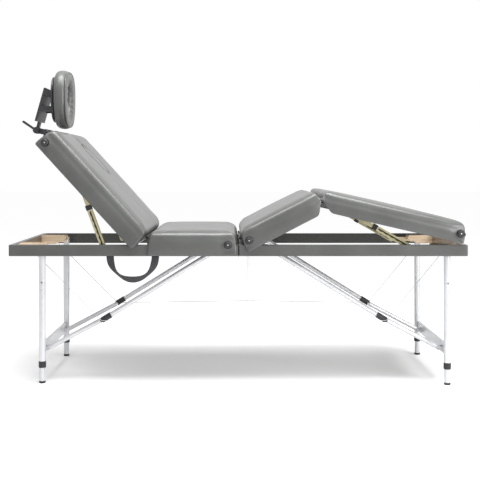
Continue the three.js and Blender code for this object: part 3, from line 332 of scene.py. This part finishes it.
def panel_skin(x0, x1, round0, round1, bottom_at, end_bottom0, end_bottom1, oval=None):
    """The pad's closed skin, flat about its hinge, from a grid whose rim is drawn down and turned under."""
    bm = bmesh.new()
    outward = bm.verts.layers.float_vector.new("outward")
    base = bm.verts.layers.float_vector.new("base")
    inner_x0 = x0 + round0
    inner_x1 = x1 - round1
    inner_y = half_width - mid_inset - side_round
    columns = round((inner_x1 - inner_x0) / cell)
    rows = round(2 * inner_y / cell)
    bmesh.ops.create_grid(bm, x_segments=columns, y_segments=rows, size=1)
    middle_x = (inner_x0 + inner_x1) / 2
    reach_x = (inner_x1 - inner_x0) / 2
    corner = plan_corner - side_round
    for vert in bm.verts:
        vert.co = Vector((middle_x + vert.co.x * reach_x, vert.co.y * inner_y, 0))
        share_x = (vert.co.x - x0) / (x1 - x0)
        across = abs(vert.co.y) / inner_y
        vert.co.z = pad_rise + crown * math.sin(math.pi * share_x) * (1 - across ** 2) ** 0.5
    rim = [edge for edge in bm.edges if edge.is_boundary]
    for vert in verts_of(rim):
        flat = Vector((vert.co.x - middle_x, vert.co.y, 0))
        core = Vector((
            min(max(flat.x, -reach_x + plan_corner), reach_x - plan_corner),
            min(max(flat.y, -inner_y + plan_corner), inner_y - plan_corner), 0,
        ))
        away = flat - core
        vert[outward] = away.normalized()
        edge_x = min(max(flat.x, -reach_x + corner), reach_x - corner)
        edge_y = min(max(flat.y, -inner_y + corner), inner_y - corner)
        turned = Vector((edge_x, edge_y, 0)) + away.normalized() * corner
        vert[base] = Vector((middle_x + turned.x, turned.y, pad_rise))
        vert.co = vert[base]

    def drop_loop(place):
        nonlocal rim
        rim = next_rim(bm, rim)
        for vert in verts_of(rim):
            vert.co = place(vert)

    def turn_radius(vert):
        end = round0 if vert[outward].x < 0 else round1
        lean = vert[outward].x ** 2
        return end * lean + side_round * (1 - lean)

    def corner_share(vert):
        """How far a squared corner stands out past a rounded one, as a share of its radius."""
        return 1 / max(abs(vert[outward].x), abs(vert[outward].y)) - 1

    def end_share(vert):
        return blend_share(abs(vert[outward].x), 0.75, 0.97)

    def bottom_of(vert):
        reach = vert[base] + vert[outward] * turn_radius(vert)
        end = end_bottom0 if vert[outward].x < 0 else end_bottom1
        return bottom_at(reach.x) * (1 - end_share(vert)) + end * end_share(vert)

    for step in range(1, turn_steps + 1):
        angle = step / turn_steps * math.pi / 2

        def on_round(vert):
            radius = turn_radius(vert)
            sunk = Vector((0, 0, radius * (1 - math.cos(angle))))
            return vert[base] + vert[outward] * radius * math.sin(angle) - sunk

        drop_loop(on_round)
    for step in range(1, side_steps + 1):
        share = step / side_steps

        def on_side(vert):
            radius = turn_radius(vert)
            top = pad_rise - radius
            low = bottom_of(vert)
            inset = mid_inset * math.sin(math.pi * share) - bottom_draw * max(share - 0.5, 0) * 2
            flat = vert[base] + vert[outward] * (radius + inset * (1 - end_share(vert)))
            flat += vert[outward] * radius * corner_share(vert) * low_corner * share
            return Vector((flat.x, flat.y, top + (low - top) * share))

        drop_loop(on_side)

    def wall(vert):
        squared_by = turn_radius(vert) * corner_share(vert) * low_corner
        thinner = end_thickness - skirt_thickness + bottom_draw
        return squared_by + skirt_thickness - bottom_draw + thinner * end_share(vert)

    drop_loop(lambda vert: vert.co - vert[outward] * wall(vert))
    drop_loop(lambda vert: Vector((vert.co.x, vert.co.y, max(pad_floor, vert.co.z))))
    if oval:
        bmesh.ops.bridge_loops(bm, edges=rim + open_oval(bm, *oval, pad_floor))
    else:
        close_hole(bm, rim)
    bmesh.ops.recalc_face_normals(bm, faces=bm.faces)
    return bm


cushion_pressure = 4
cushion_frames = 14
most_swell = 0.003


def settle(piece):
    """Blows the vinyl out against its foam with cloth, holding the underside, and keeps the result."""
    start = [vert.co.copy() for vert in piece.data.vertices]
    held = [
        vert.index for vert in piece.data.vertices
        if vert.co.z < pad_floor + 0.002 and vert.normal.z < 0.5
    ]
    piece.vertex_groups.new(name="held").add(held, 1.0, "REPLACE")
    cloth = piece.modifiers.new("cloth", "CLOTH")
    cloth.settings.vertex_group_mass = "held"
    cloth.settings.use_pressure = True
    cloth.settings.uniform_pressure_force = cushion_pressure
    cloth.settings.quality = 4
    cloth.settings.tension_stiffness = 40
    cloth.settings.compression_stiffness = 40
    cloth.settings.bending_stiffness = 1.5
    cloth.settings.effector_weights.gravity = 0
    for number in range(1, cushion_frames + 1):
        scene.frame_set(number)
    shown = piece.evaluated_get(bpy.context.evaluated_depsgraph_get())
    moved = [vert.co.copy() for vert in shown.data.vertices]
    piece.modifiers.remove(cloth)
    piece.vertex_groups.clear()
    scene.frame_set(1)
    for vert, first, last in zip(piece.data.vertices, start, moved):
        step = last - first
        if step.length > most_swell:
            step *= most_swell / step.length
        vert.co = first + step


wave_rate = 9
wave_height = 0.0010
pleat_reach = 0.075
pleat_rate = 95
pleat_height = 0.0009
dent_band = 0.012
dent_reach = 0.060
dent_radius = 0.026
dent_spread = 0.010
dent_depth = 0.0026
dent_ripple = 0.0009
dent_lobes = 7


def slack_vinyl(piece, x0, x1, foot_spot, seed):
    """Works the signs of stretched vinyl into a panel: waves, pleats at its ends, dents at its feet."""
    along, rise = foot_spot
    normals = [vert.normal.copy() for vert in piece.data.vertices]
    for vert, normal in zip(piece.data.vertices, normals):
        co = vert.co.copy()
        if co.z < pad_floor and abs(co.y) < half_width - skirt_thickness / 2:
            continue
        soft = noise.noise(co * wave_rate + Vector((seed, 0, 0))) * wave_height
        end = min(co.x - x0, x1 - co.x)
        near_end = 1 - blend_share(end, 0.0, pleat_reach)
        ripple = math.sin(co.y * pleat_rate + 2.2 * noise.noise(co * 14)) * pleat_height * near_end
        valley = 0.0
        away = math.hypot(co.x - along, co.z - rise)
        if abs(co.y) > half_width - dent_band and away < dent_reach:
            ring = math.exp(-((away - dent_radius) / dent_spread) ** 2)
            turn = math.atan2(co.z - rise, co.x - along)
            valley = ring * (dent_depth + dent_ripple * math.sin(dent_lobes * turn + seed))
        vert.co = co + normal * (soft + ripple) - Vector((0, math.copysign(valley, co.y), 0))


def round_off(piece):
    smooth = piece.modifiers.new("smooth", "SUBSURF")
    smooth.levels = smooth.render_levels = 1


def panel(name, node, body, place, reach, rounds, bottom_at, ends, foot_spot, seed, oval=None):
    """A panel's pad between the two x of its reach, with a rounding and a lower edge for each end."""
    piece = add_piece(name, panel_skin(*reach, *rounds, bottom_at, *ends, oval), pad_vinyl)
    settle(piece)
    slack_vinyl(piece, *reach, foot_spot, seed)
    piece.data.transform(place)
    round_off(piece)
    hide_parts(node)
    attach(piece, body)


backrest_length = 0.594
knee_length = 0.372
foot_length = 0.604
peak_gap = 0.006
knee_cut = 0.030
foot_cut = 0.044
hinge_round = 0.032
peak_round = 0.014
outer_round = 0.030
seat_skirt = 0.0635
backrest_skirt = 0.065
knee_skirt = 0.058
foot_skirt = 0.049
foot_spots = {
    "backrest": (-backrest_length + 0.031, -0.028),
    "seat": (knee_hinge.x - 0.046, -0.016),
    "knee": (0.036, -0.016),
    "foot": (foot_length - 0.027, -0.010),
}


def raised_near(skirt, end, cut):
    """A skirt's lower edge that rises to the pad's floor at one end, to clear the next panel."""
    return lambda x: -skirt + max(1 - abs(x - end) / cut, 0) * (skirt + peak_lip)


panel(
    "seat_cushion", "seat_pad", "head_half", seat_place, (backrest_hinge.x + end_gap, knee_hinge.x - end_gap),
    (hinge_round, hinge_round), lambda x: -seat_skirt, (board_base, board_base), foot_spots["seat"], 3,
)
panel(
    "knee_cushion", "knee_pad", "knee_panel", knee_place, (end_gap, knee_length - peak_gap),
    (hinge_round, peak_round), raised_near(knee_skirt, knee_length - peak_gap, knee_cut),
    (board_base, peak_lip), foot_spots["knee"], 11,
)
panel(
    "foot_cushion", "foot_pad", "foot_panel", foot_place, (peak_gap, foot_length),
    (peak_round, outer_round), raised_near(foot_skirt, peak_gap, foot_cut),
    (peak_lip, board_base), foot_spots["foot"], 19,
)

# Backrest: the longest panel, with an oval hole for the face whose edge the vinyl rolls into.
# An oval plug fills the hole while the backrest is up; it is foam in the same vinyl, with a welt round it.
face_centre = -backrest_length + 0.178
face_half_length = 0.093
face_half_width = 0.062
plug_gap = 0.001

oval_steps = 72

panel(
    "backrest_cushion", "backrest_pad", "backrest", backrest_place, (-backrest_length, -end_gap),
    (outer_round, hinge_round), lambda x: -backrest_skirt, (board_base, board_base),
    foot_spots["backrest"], 27, (face_centre, face_half_length, face_half_width),
)


def oval_loops(profile, half_length, half_across, centre):
    """A closed oval cushion from loops, each a share of its size and a height, underside to crown."""
    bm = bmesh.new()
    anchor = bm.verts.layers.float_vector.new("anchor")
    bmesh.ops.create_circle(bm, segments=oval_steps, radius=1)
    for vert in bm.verts:
        vert[anchor] = vert.co
    rim = list(bm.edges)
    close_hole(bm, rim)
    for step, (share, height) in enumerate(profile):
        if step:
            rim = next_rim(bm, rim)
        for vert in verts_of(rim):
            vert.co = Vector((
                centre + vert[anchor].x * half_length * share, vert[anchor].y * half_across * share, height,
            ))
    close_hole(bm, rim)
    bmesh.ops.recalc_face_normals(bm, faces=bm.faces)
    return bm


plug_floor = pad_rise - 0.038
plug_top = pad_rise + 0.0075
plug_profile = [
    (0.90, plug_floor), (0.985, plug_floor + 0.002), (1.0, plug_floor + 0.012), (1.0, plug_top - 0.016),
    (0.995, plug_top - 0.010), (0.965, plug_top - 0.0055), (0.90, plug_top - 0.0025),
    (0.75, plug_top - 0.0008), (0.45, plug_top), (0.15, plug_top),
]
plug = add_piece("face_plug_cushion", oval_loops(
    plug_profile, face_half_length - plug_gap, face_half_width - plug_gap, face_centre,
), pad_vinyl)
plug.data.transform(backrest_place)
round_off(plug)
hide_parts("face_hole_plug")
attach(plug, "face_plug")


def ring_tube(points, radius, sides=10):
    """A closed round tube through a ring of points, swept from a small circle."""
    bm = bmesh.new()
    count = len(points)
    loops = []
    for index, point in enumerate(points):
        ahead = (points[(index + 1) % count] - points[index - 1]).normalized()
        matrix = Matrix.Translation(point) @ ahead.to_track_quat("Z", "Y").to_matrix().to_4x4()
        made = bmesh.ops.create_circle(bm, segments=sides, radius=radius, matrix=matrix)
        loops.append(list(made["verts"]))
    for index in range(count):
        first = loops[index]
        second = loops[(index + 1) % count]
        near = min(range(sides), key=lambda k: (second[k].co - first[0].co).length)
        for k in range(sides):
            j = (k + 1) % sides
            bm.faces.new((first[k], first[j], second[(near + j) % sides], second[(near + k) % sides]))
    bmesh.ops.recalc_face_normals(bm, faces=bm.faces)
    return bm


welt_radius = 0.0025
welt_inset = 0.004
welt_height = plug_top - 0.0036
welt_points = []
for step in range(oval_steps):
    turn = 2 * math.pi * step / oval_steps
    welt_points.append(Vector((
        face_centre + (face_half_length - welt_inset) * math.cos(turn),
        (face_half_width - welt_inset) * math.sin(turn), welt_height,
    )))
welt = add_piece("face_plug_welt", ring_tube(welt_points, welt_radius), pad_vinyl)
welt.data.transform(backrest_place)
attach(welt, "face_plug")

# Frame: two open halves of long boards and end boards, glued and screwed, wrapped in the same vinyl outside.
# Inside, the wrap is stapled, and on the long boards it is coloured dark as painted shade under the panels;
# the end boards show their wood.
frame_half_width = 0.325
rail_thickness = 0.018
rail_inside = frame_half_width - rail_thickness
end_board = 0.030
frame_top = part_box("seat_board")[0].z - fit
frame_end = -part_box("head_leg_block_near")[0].x + 0.0223
wrap_edge = 0.0007
end_wrap = 0.0026
top_wrap = 0.0015
wrap_soft = 0.0004
# The long boards' inner faces get a near-black colour: painted shade under the panels.
rail_inside_shade_colour = (0.050, 0.050, 0.044, 1)
end_wood_light = (0.34, 0.24, 0.16)
end_wood_dark = (0.22, 0.15, 0.10)
end_wood_stretch = (90.0, 8.0, 90.0)


def above(tree, value, edge, soft):
    """1 where a value is past an edge, 0 before it, with a soft step between."""
    made = new_node(tree, "ShaderNodeMapRange", [
        ("Value", value), ("From Min", edge - soft), ("From Max", edge + soft),
        ("To Min", 0.0), ("To Max", 1.0),
    ])
    return made.outputs["Result"]


def combine(tree, operation, first, second):
    return new_node(tree, "ShaderNodeMath", [(0, first), (1, second)], operation=operation).outputs[0]


def absolute(tree, value):
    return new_node(tree, "ShaderNodeMath", [(0, value)], operation="ABSOLUTE").outputs[0]


def inverse(tree, value):
    return new_node(tree, "ShaderNodeMath", [(0, 1.0), (1, value)], operation="SUBTRACT").outputs[0]


def split_coords(tree, coords):
    made = new_node(tree, "ShaderNodeSeparateXYZ", [(0, coords)])
    return made.outputs[0], made.outputs[1], made.outputs[2]


def wood_surface(tree, coords, light, dark, stretch):
    """Colour and bump sockets of plain wood whose grain runs along the axis that is stretched least."""
    long_grain = new_node(tree, "ShaderNodeMapping", [("Vector", coords), ("Scale", stretch)])
    fibres = new_node(tree, "ShaderNodeTexNoise", [
        ("Vector", long_grain.outputs[0]), ("Scale", 1.0), ("Detail", 8.0), ("Roughness", 0.65),
        ("Distortion", 0.4),
    ])
    bands = new_node(tree, "ShaderNodeTexWave", [
        ("Vector", long_grain.outputs[0]), ("Scale", 0.22), ("Distortion", 6.0), ("Detail", 3.0),
    ], bands_direction="Z")
    both = combine(tree, "MULTIPLY", fibres.outputs[0], 0.75)
    tone = combine(tree, "MULTIPLY", bands.outputs[1], 0.25)
    share = combine(tree, "ADD", both, tone)
    colour = mix_colour(tree, spread(tree, share, 0, 1), (*dark, 1), (*light, 1))
    bump = new_node(tree, "ShaderNodeBump", [
        ("Strength", 0.2), ("Distance", 0.0005), ("Height", fibres.outputs[0]),
    ])
    return colour, bump.outputs[0]


def frame_wrap():
    made, tree, coords = start_material("frame_wrap")
    x, y, z = split_coords(tree, coords)
    shade, rough, bump = vinyl_surface(tree, coords, pad_grey)
    timber, _ = wood_surface(tree, coords, end_wood_light, end_wood_dark, end_wood_stretch)
    inside = inverse(tree, above(tree, absolute(tree, y), rail_inside - wrap_edge, wrap_soft))
    past_end = above(tree, absolute(tree, x), frame_end - end_wrap, wrap_soft)
    end_inside = combine(tree, "MULTIPLY", inside, inverse(tree, past_end))
    near_end = above(tree, absolute(tree, x), frame_end - end_board, wrap_soft)
    under_top = inverse(tree, above(tree, z, frame_top - top_wrap, wrap_soft))
    bare_end = combine(tree, "MULTIPLY", combine(tree, "MULTIPLY", end_inside, near_end), under_top)
    within_rails = inverse(tree, above(tree, absolute(tree, y), rail_inside + wrap_edge, wrap_soft))
    rail_face = combine(tree, "MULTIPLY", within_rails, inverse(tree, near_end))
    # Painted shade: the inner faces of the long boards take the dark colour.
    rails_with_inner_shade = mix_colour(tree, rail_face, shade, rail_inside_shade_colour)
    colour = mix_colour(tree, bare_end, rails_with_inner_shade, timber)
    finish_material(tree, [
        ("Base Color", colour), ("Roughness", rough), ("Normal", bump), ("Specular IOR Level", 0.5),
    ])
    return made


def dress(names, finish):
    """Gives CAD nodes a finish in place of their plain one."""
    for name in names:
        node = nodes[name]
        node.data.materials.clear()
        node.data.materials.append(finish)


dress(["head_frame", "foot_frame"], frame_wrap())

# Boards and blocks: plywood under the pads, covered below in near-black cloth whose dark is painted shade
# under the pads, and beech blocks in the corners that the legs turn on. The blocks are sanded and left bare,
# with their grain along the table.
board_shade_dark = (0.016, 0.016, 0.017, 1)
board_shade_light = (0.034, 0.034, 0.035, 1)


def wood(name, light, dark, stretch, roughness):
    made, tree, coords = start_material(name)
    colour, bump = wood_surface(tree, coords, light, dark, stretch)
    finish_material(tree, [("Base Color", colour), ("Roughness", roughness), ("Normal", bump)])
    return made


# Near-black fuzzy cloth on the boards: its dark colour stands for painted shade under the pads.
def shaded_board_cloth():
    made, tree, coords = start_material("board_cloth_painted_shade")
    fuzz = new_node(tree, "ShaderNodeTexNoise", [("Vector", coords), ("Scale", 900.0), ("Detail", 5.0)])
    shade = mix_colour(tree, spread(tree, fuzz.outputs[0], 0, 1), board_shade_dark, board_shade_light)
    bump = new_node(tree, "ShaderNodeBump", [
        ("Strength", 0.4), ("Distance", 0.0004), ("Height", fuzz.outputs[0]),
    ])
    finish_material(tree, [("Base Color", shade), ("Roughness", 0.92), ("Normal", bump.outputs[0])])
    return made


def pair(stem):
    return [f"{stem}_near", f"{stem}_far"]


dress([f"{panel_name}_board" for panel_name in foot_spots], shaded_board_cloth())
dress(
    pair("head_leg_block") + pair("foot_leg_block"),
    wood("beech", (0.88, 0.70, 0.50), (0.74, 0.54, 0.35), (14.0, 120.0, 120.0), 0.6),
)

# Legs and struts: drawn aluminium tube, anodised near white, with black plastic collars, caps and sleeves.
# The lower tubes slide in the upper ones and are locked by sprung buttons in the row of holes.
plastic_black = (0.012, 0.012, 0.014, 1)


def metal_with_plastic(name, colour, roughness, metalness, plastic_mask=None):
    """Brushed metal, and black plastic where the mask says so."""
    made, tree, coords = start_material(name)
    streaks = new_node(tree, "ShaderNodeTexNoise", [("Vector", coords), ("Scale", 260.0), ("Detail", 4.0)])
    cloudy = new_node(tree, "ShaderNodeTexNoise", [("Vector", coords), ("Scale", 12.0), ("Detail", 2.0)])
    dim = [c * 0.93 for c in colour]
    shade = mix_colour(tree, spread(tree, cloudy.outputs[0], 0, 1), (*dim, 1), (*colour, 1))
    rough = spread(tree, streaks.outputs[0], roughness - 0.05, roughness + 0.06)
    inputs = [("Base Color", shade), ("Roughness", rough), ("Metallic", metalness)]
    if plastic_mask:
        share = plastic_mask(tree, coords)
        black = mix_colour(tree, share, shade, plastic_black)
        dull = new_node(tree, "ShaderNodeMix", [(0, share), (2, rough), (3, 0.5)]).outputs[0]
        metal = new_node(tree, "ShaderNodeMix", [(0, share), (2, metalness), (3, 0.0)]).outputs[0]
        inputs = [("Base Color", black), ("Roughness", dull), ("Metallic", metal)]
    bump = new_node(tree, "ShaderNodeBump", [
        ("Strength", 0.05), ("Distance", 0.0002), ("Height", streaks.outputs[0]),
    ])
    finish_material(tree, inputs + [("Normal", bump.outputs[0])])
    return made


collar_top = 0.0904
cap_top = 0.0094
tube_white = (0.68, 0.69, 0.71)
tube_roughness = 0.34
tube_metalness = 0.35
tube_look = (tube_white, tube_roughness, tube_metalness)


def below_height(height):
    def mask(tree, coords):
        return inverse(tree, above(tree, split_coords(tree, coords)[2], height, 0.0002))
    return mask


upper_tube = metal_with_plastic("upper_tube", *tube_look, below_height(collar_top))
lower_tube = metal_with_plastic("lower_tube", *tube_look, below_height(cap_top))
plain_tube = metal_with_plastic("plate_and_strut", *tube_look)
bright_steel = metal_with_plastic("bright_steel", (0.62, 0.63, 0.65), 0.26, 0.9)

strut_radius = 0.010
sleeve_length = 0.045
no_y = (1.0, 0.0, 1.0)
knuckles = {}
for end, at_right in (("head", 1), ("foot", 0)):
    low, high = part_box(f"{end}_strut_lower_near")
    knuckle_x = high.x - strut_radius if at_right else low.x + strut_radius
    knuckles[end] = Vector((knuckle_x, 0, high.z - strut_radius))


def vector_math(tree, operation, first, second):
    return new_node(tree, "ShaderNodeVectorMath", [(0, first), (1, second)], operation=operation)


def near_knuckle(knuckle):
    def mask(tree, coords):
        flat = vector_math(tree, "MULTIPLY", coords, no_y).outputs[0]
        gap = vector_math(tree, "DISTANCE", flat, knuckle).outputs["Value"]
        return inverse(tree, above(tree, gap, sleeve_length, 0.0003))
    return mask


for end in ("head", "foot"):
    sleeved = metal_with_plastic(f"{end}_sleeved_tube", *tube_look, near_knuckle(knuckles[end]))
    dress(pair(f"{end}_strut_upper"), sleeved)
    dress(pair(f"{end}_strut_lower"), plain_tube)
    dress(pair(f"{end}_leg_upper"), upper_tube)
    dress(pair(f"{end}_leg_lower"), lower_tube)
    dress(pair(f"{end}_leg_button"), bright_steel)
    dress([f"{end}_cross_plate"], plain_tube)
dress(pair("cable"), bright_steel)

# Stays: pressed steel channels with a toothed bar in each, yellow zinc plated, and a black end cap.
# A stay swings on a bolt in the frame and its bar is pinned to the lug under its panel.
zinc = (0.50, 0.46, 0.29)
# The slot's dark colour is painted shade inside the channel.
slot_shade_colour = (0.035, 0.032, 0.022, 1)
cap_start = 0.1738
slot_start = 0.016
slot_end = 0.168
slot_top = 0.0044
slot_bottom = -0.0036
notch_pitch = 0.013
notch_slope = 0.22


def stay_line(swing, slide):
    """A stay's lower pivot and the direction in which it draws out."""
    return Vector(joints[swing]["pos_m"]), -Vector(joints[slide]["axis"]).normalized()


def measured(tree, coords, pivot, direction):
    """How far a point lies from a pivot in a direction."""
    offset = vector_math(tree, "SUBTRACT", coords, pivot).outputs[0]
    return vector_math(tree, "DOT_PRODUCT", offset, direction).outputs["Value"]


def stay_cap(pivot, along):
    def mask(tree, coords):
        return above(tree, measured(tree, coords, pivot, along), cap_start, 0.0002)
    return mask


def stay_slot(end, pivot, along):
    """Zinc with a slot down each channel, coloured dark as painted shade inside the channel, notched along
    one edge where the pawl drops in.
    """
    made = metal_with_plastic(f"{end}_stay_zinc", zinc, 0.34, 0.7, stay_cap(pivot, along))
    tree = made.node_tree
    shader = next(node for node in tree.nodes if node.type == "BSDF_PRINCIPLED")
    coords = new_node(tree, "ShaderNodeTexCoord").outputs["Object"]
    run = measured(tree, coords, pivot, along)
    side = measured(tree, coords, pivot, Vector((-along.z, 0, along.x)))
    notch = combine(tree, "MULTIPLY", combine(tree, "PINGPONG", run, notch_pitch), notch_slope)
    top = inverse(tree, above(tree, combine(tree, "ADD", side, notch), slot_top, 0.0003))
    low = above(tree, side, slot_bottom, 0.0003)
    started = above(tree, run, slot_start, 0.0004)
    ends = combine(tree, "MULTIPLY", started, inverse(tree, above(tree, run, slot_end, 0.0004)))
    slot_shade_mask = combine(tree, "MULTIPLY", combine(tree, "MULTIPLY", top, low), ends)
    # Painted shade: the slot takes the dark colour over the zinc.
    shown = shader.inputs["Base Color"].links[0].from_socket
    tree.links.new(mix_colour(tree, slot_shade_mask, shown, slot_shade_colour), shader.inputs["Base Color"])
    return made


plain_zinc = metal_with_plastic("yellow_zinc", zinc, 0.30, 0.75)
for end in ("backrest", "foot"):
    dress(pair(f"{end}_stay_outer"), stay_slot(end, *stay_line(f"{end}_stay_swing", f"{end}_stay_slide")))
    dress(pair(f"{end}_stay_bar"), plain_zinc)

# Rubber feet: moulded black domes screwed through the vinyl into the boards' edges.
# The head of the screw shows bright in the hollow of each dome.


def moulded(name, colour, roughness, grain):
    made, tree, coords = start_material(name)
    speckle = new_node(tree, "ShaderNodeTexNoise", [("Vector", coords), ("Scale", grain), ("Detail", 5.0)])
    paler = [c * 1.5 for c in colour]
    shade = mix_colour(tree, spread(tree, speckle.outputs[0], 0, 1), (*colour, 1), (*paler, 1))
    rough = spread(tree, speckle.outputs[0], roughness - 0.06, roughness + 0.06)
    bump = new_node(tree, "ShaderNodeBump", [
        ("Strength", 0.12), ("Distance", 0.0002), ("Height", speckle.outputs[0]),
    ])
    finish_material(tree, [("Base Color", shade), ("Roughness", rough), ("Normal", bump.outputs[0])])
    return made


rubber = moulded("black_rubber", (0.012, 0.012, 0.013), 0.36, 700.0)
black_plastic = moulded("black_plastic", (0.014, 0.014, 0.017), 0.44, 1100.0)
panels = {
    "backrest": (backrest_place, "backrest"),
    "seat": (seat_place, "head_half"),
    "knee": (knee_place, "knee_panel"),
    "foot": (foot_place, "foot_panel"),
}
screw_radius = 0.0042
screw_height = 0.0022
screw_flat = 0.18
dome_steps = 5


def dome_head(radius, height):
    """A domed screw head, its flat at zero and its crown up, from circles drawn in and raised."""
    bm = bmesh.new()
    bmesh.ops.create_circle(bm, cap_ends=False, segments=20, radius=radius)
    rim = list(bm.edges)
    close_hole(bm, rim)
    before = 1
    for step in range(1, dome_steps + 1):
        angle = step / dome_steps * math.pi / 2
        rim = next_rim(bm, rim)
        share = max(math.cos(angle), screw_flat)
        for vert in verts_of(rim):
            vert.co = Vector((
                vert.co.x * (share / before), vert.co.y * (share / before), height * math.sin(angle),
            ))
        before = share
    bmesh.ops.holes_fill(bm, edges=rim, sides=0)
    bmesh.ops.recalc_face_normals(bm, faces=bm.faces)
    return bm


rubber_height = 0.013
rubber_dimple = 0.003
for panel_name, (place, body) in panels.items():
    dress(pair(f"{panel_name}_rubber_foot"), rubber)
    along, rise = foot_spots[panel_name]
    for side, sign in (("near", -1), ("far", 1)):
        dome = dome_head(screw_radius, screw_height)
        screw = add_piece(f"{panel_name}_foot_screw_{side}", dome, bright_steel)
        screw_y = sign * (half_width + fit + rubber_height - rubber_dimple)
        face_out = Matrix.Rotation(-sign * math.pi / 2, 4, "X")
        screw.data.transform(place @ Matrix.Translation((along, screw_y, rise)) @ face_out)
        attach(screw, body)

# Head rest: a black bridge and back plate carry a ring of foam in vinyl, gathered into its hole.
# The ring's outer wall and its face are two pieces of vinyl with a welt between them.
dress(["head_rest_bridge", "head_rest_plate", "head_rest_lever"], black_plastic)
cradle_low, cradle_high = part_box("head_rest_cushion")
cradle_centre = (cradle_low + cradle_high) / 2
cradle_half_width = (cradle_high.y - cradle_low.y) / 2
cradle_half_height = (cradle_high.z - cradle_low.z) / 2
cradle_half_depth = (cradle_high.x - cradle_low.x) / 2
hole_half_width = 0.054
hole_half_height = 0.068
around_steps = 128
section_steps = 28
ring_shape = (2.6, 0.12)
hole_shape = (2.0, 0.25)
across_power = 2.7
depth_power = 2.5
ring_inset = 0.002
ring_swell = 0.03
gather_depth = 0.0030
gather_count = 19
gather_lean = 0.4


def squared(value, power):
    """A sine or cosine pushed outwards, so that a circle turns into a rounded square."""
    return math.copysign(abs(value) ** (2 / power), value)


def outline_point(half_across, half_up, turn, power, chin):
    """A point on the ring's outline, narrower towards the chin."""
    a = squared(math.cos(turn), power) * half_across
    b = squared(math.sin(turn), power) * half_up
    return a * (1 - chin * (half_up - b) / (2 * half_up)), b


ring_bm = bmesh.new()
bmesh.ops.create_grid(ring_bm, x_segments=around_steps, y_segments=section_steps, size=1)
for vert in ring_bm.verts:
    turn = (vert.co.x + 1) * math.pi
    section = (vert.co.y + 1) * math.pi
    outer_y, outer_z = outline_point(cradle_half_width, cradle_half_height, turn, *ring_shape)
    inner_y, inner_z = outline_point(hole_half_width, hole_half_height, turn, *hole_shape)
    depth = squared(math.sin(section), depth_power)
    share = (1 - squared(math.cos(section), across_power)) / 2
    gather = max(math.sin(section), 0) * blend_share(share, 0.35, 1.0)
    uneven = 2.0 * noise.noise(Vector((turn * 2.0, 0, 5)))
    pleat = gather_depth * gather * math.sin(turn * gather_count + uneven)
    swell = 1 + ring_swell * noise.noise(Vector((math.cos(turn) * 2, math.sin(turn) * 2, depth)))
    vert.co = cradle_centre + Vector((
        depth * (cradle_half_depth - ring_inset) * swell + pleat,
        outer_y + (inner_y - outer_y) * share + pleat * gather_lean,
        outer_z + (inner_z - outer_z) * share,
    ))
bmesh.ops.remove_doubles(ring_bm, verts=ring_bm.verts, dist=0.00005)
bmesh.ops.recalc_face_normals(ring_bm, faces=ring_bm.faces)
ring = add_piece("head_rest_ring", ring_bm, pad_vinyl)
round_off(ring)
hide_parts("head_rest_cushion")
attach(ring, "head_rest")

rest_welt_radius = 0.0026
rest_welt_inset = 0.0085
rest_welt_depth = 0.80
rest_welt_steps = 96
rest_welt_points = []
for step in range(rest_welt_steps):
    turn = 2 * math.pi * step / rest_welt_steps
    welt_y, welt_z = outline_point(
        cradle_half_width - rest_welt_inset, cradle_half_height - rest_welt_inset, turn, *ring_shape,
    )
    rest_welt_points.append(cradle_centre + Vector((cradle_half_depth * rest_welt_depth, welt_y, welt_z)))
rest_welt = add_piece("head_rest_welt", ring_tube(rest_welt_points, rest_welt_radius), pad_vinyl)
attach(rest_welt, "head_rest")

# Carry handle: a loop of woven webbing whose ends are screwed under the near rail of the head half.
# It hangs open and turns over on each side, so that its lower part lies broad.
handle_low, handle_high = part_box("carry_handle")
strap_width = 0.030
strap_thickness = 0.0022
strap_middle = (handle_low.x + handle_high.x) / 2
strap_span = (handle_high.x - handle_low.x) / 2 - strap_width / 2
strap_y = (handle_low.y + handle_high.y) / 2
strap_top = handle_high.z
strap_drop = strap_top - handle_low.z - 0.012
side_fold = 0.80
low_fold = 0.55
webbing_dark = (0.028, 0.028, 0.031, 1)
webbing_light = (0.060, 0.060, 0.066, 1)


def webbing():
    made, tree, coords = start_material("webbing")
    ribs = new_node(tree, "ShaderNodeTexWave", [
        ("Vector", coords), ("Scale", 170.0), ("Distortion", 0.6), ("Detail", 1.0),
    ], bands_direction="DIAGONAL")
    threads = new_node(tree, "ShaderNodeTexNoise", [("Vector", coords), ("Scale", 1500.0), ("Detail", 3.0)])
    weave = combine(tree, "ADD", ribs.outputs[1], threads.outputs[0])
    shade = mix_colour(tree, spread(tree, threads.outputs[0], 0, 1), webbing_dark, webbing_light)
    bump = new_node(tree, "ShaderNodeBump", [("Strength", 0.5), ("Distance", 0.0006), ("Height", weave)])
    finish_material(tree, [("Base Color", shade), ("Roughness", 0.85), ("Normal", bump.outputs[0])])
    return made


webbing_finish = webbing()
strap_bm = bmesh.new()
bmesh.ops.create_grid(strap_bm, x_segments=90, y_segments=6, size=1)
for vert in strap_bm.verts:
    turn = (vert.co.x + 1) / 2 * math.pi
    along = strap_middle - strap_span * math.cos(turn)
    centre = Vector((along, strap_y, strap_top - strap_drop * math.sin(turn)))
    ahead = Vector((strap_span * math.sin(turn), 0, -strap_drop * math.cos(turn))).normalized()
    flat = ahead.cross(Vector((0, 1, 0))).normalized()
    fold = side_fold * math.sin(2 * turn) ** 2 + low_fold * math.sin(turn) ** 2
    across = Matrix.Rotation(fold, 3, ahead) @ flat
    vert.co = centre + across * (vert.co.y * strap_width / 2)
    vert.co.z = min(vert.co.z, strap_top)
bmesh.ops.recalc_face_normals(strap_bm, faces=strap_bm.faces)
bmesh.ops.solidify(strap_bm, geom=strap_bm.faces, thickness=strap_thickness)
strap = add_piece("handle_strap", strap_bm, webbing_finish)
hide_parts("carry_handle")
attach(strap, "head_half")

low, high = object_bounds()
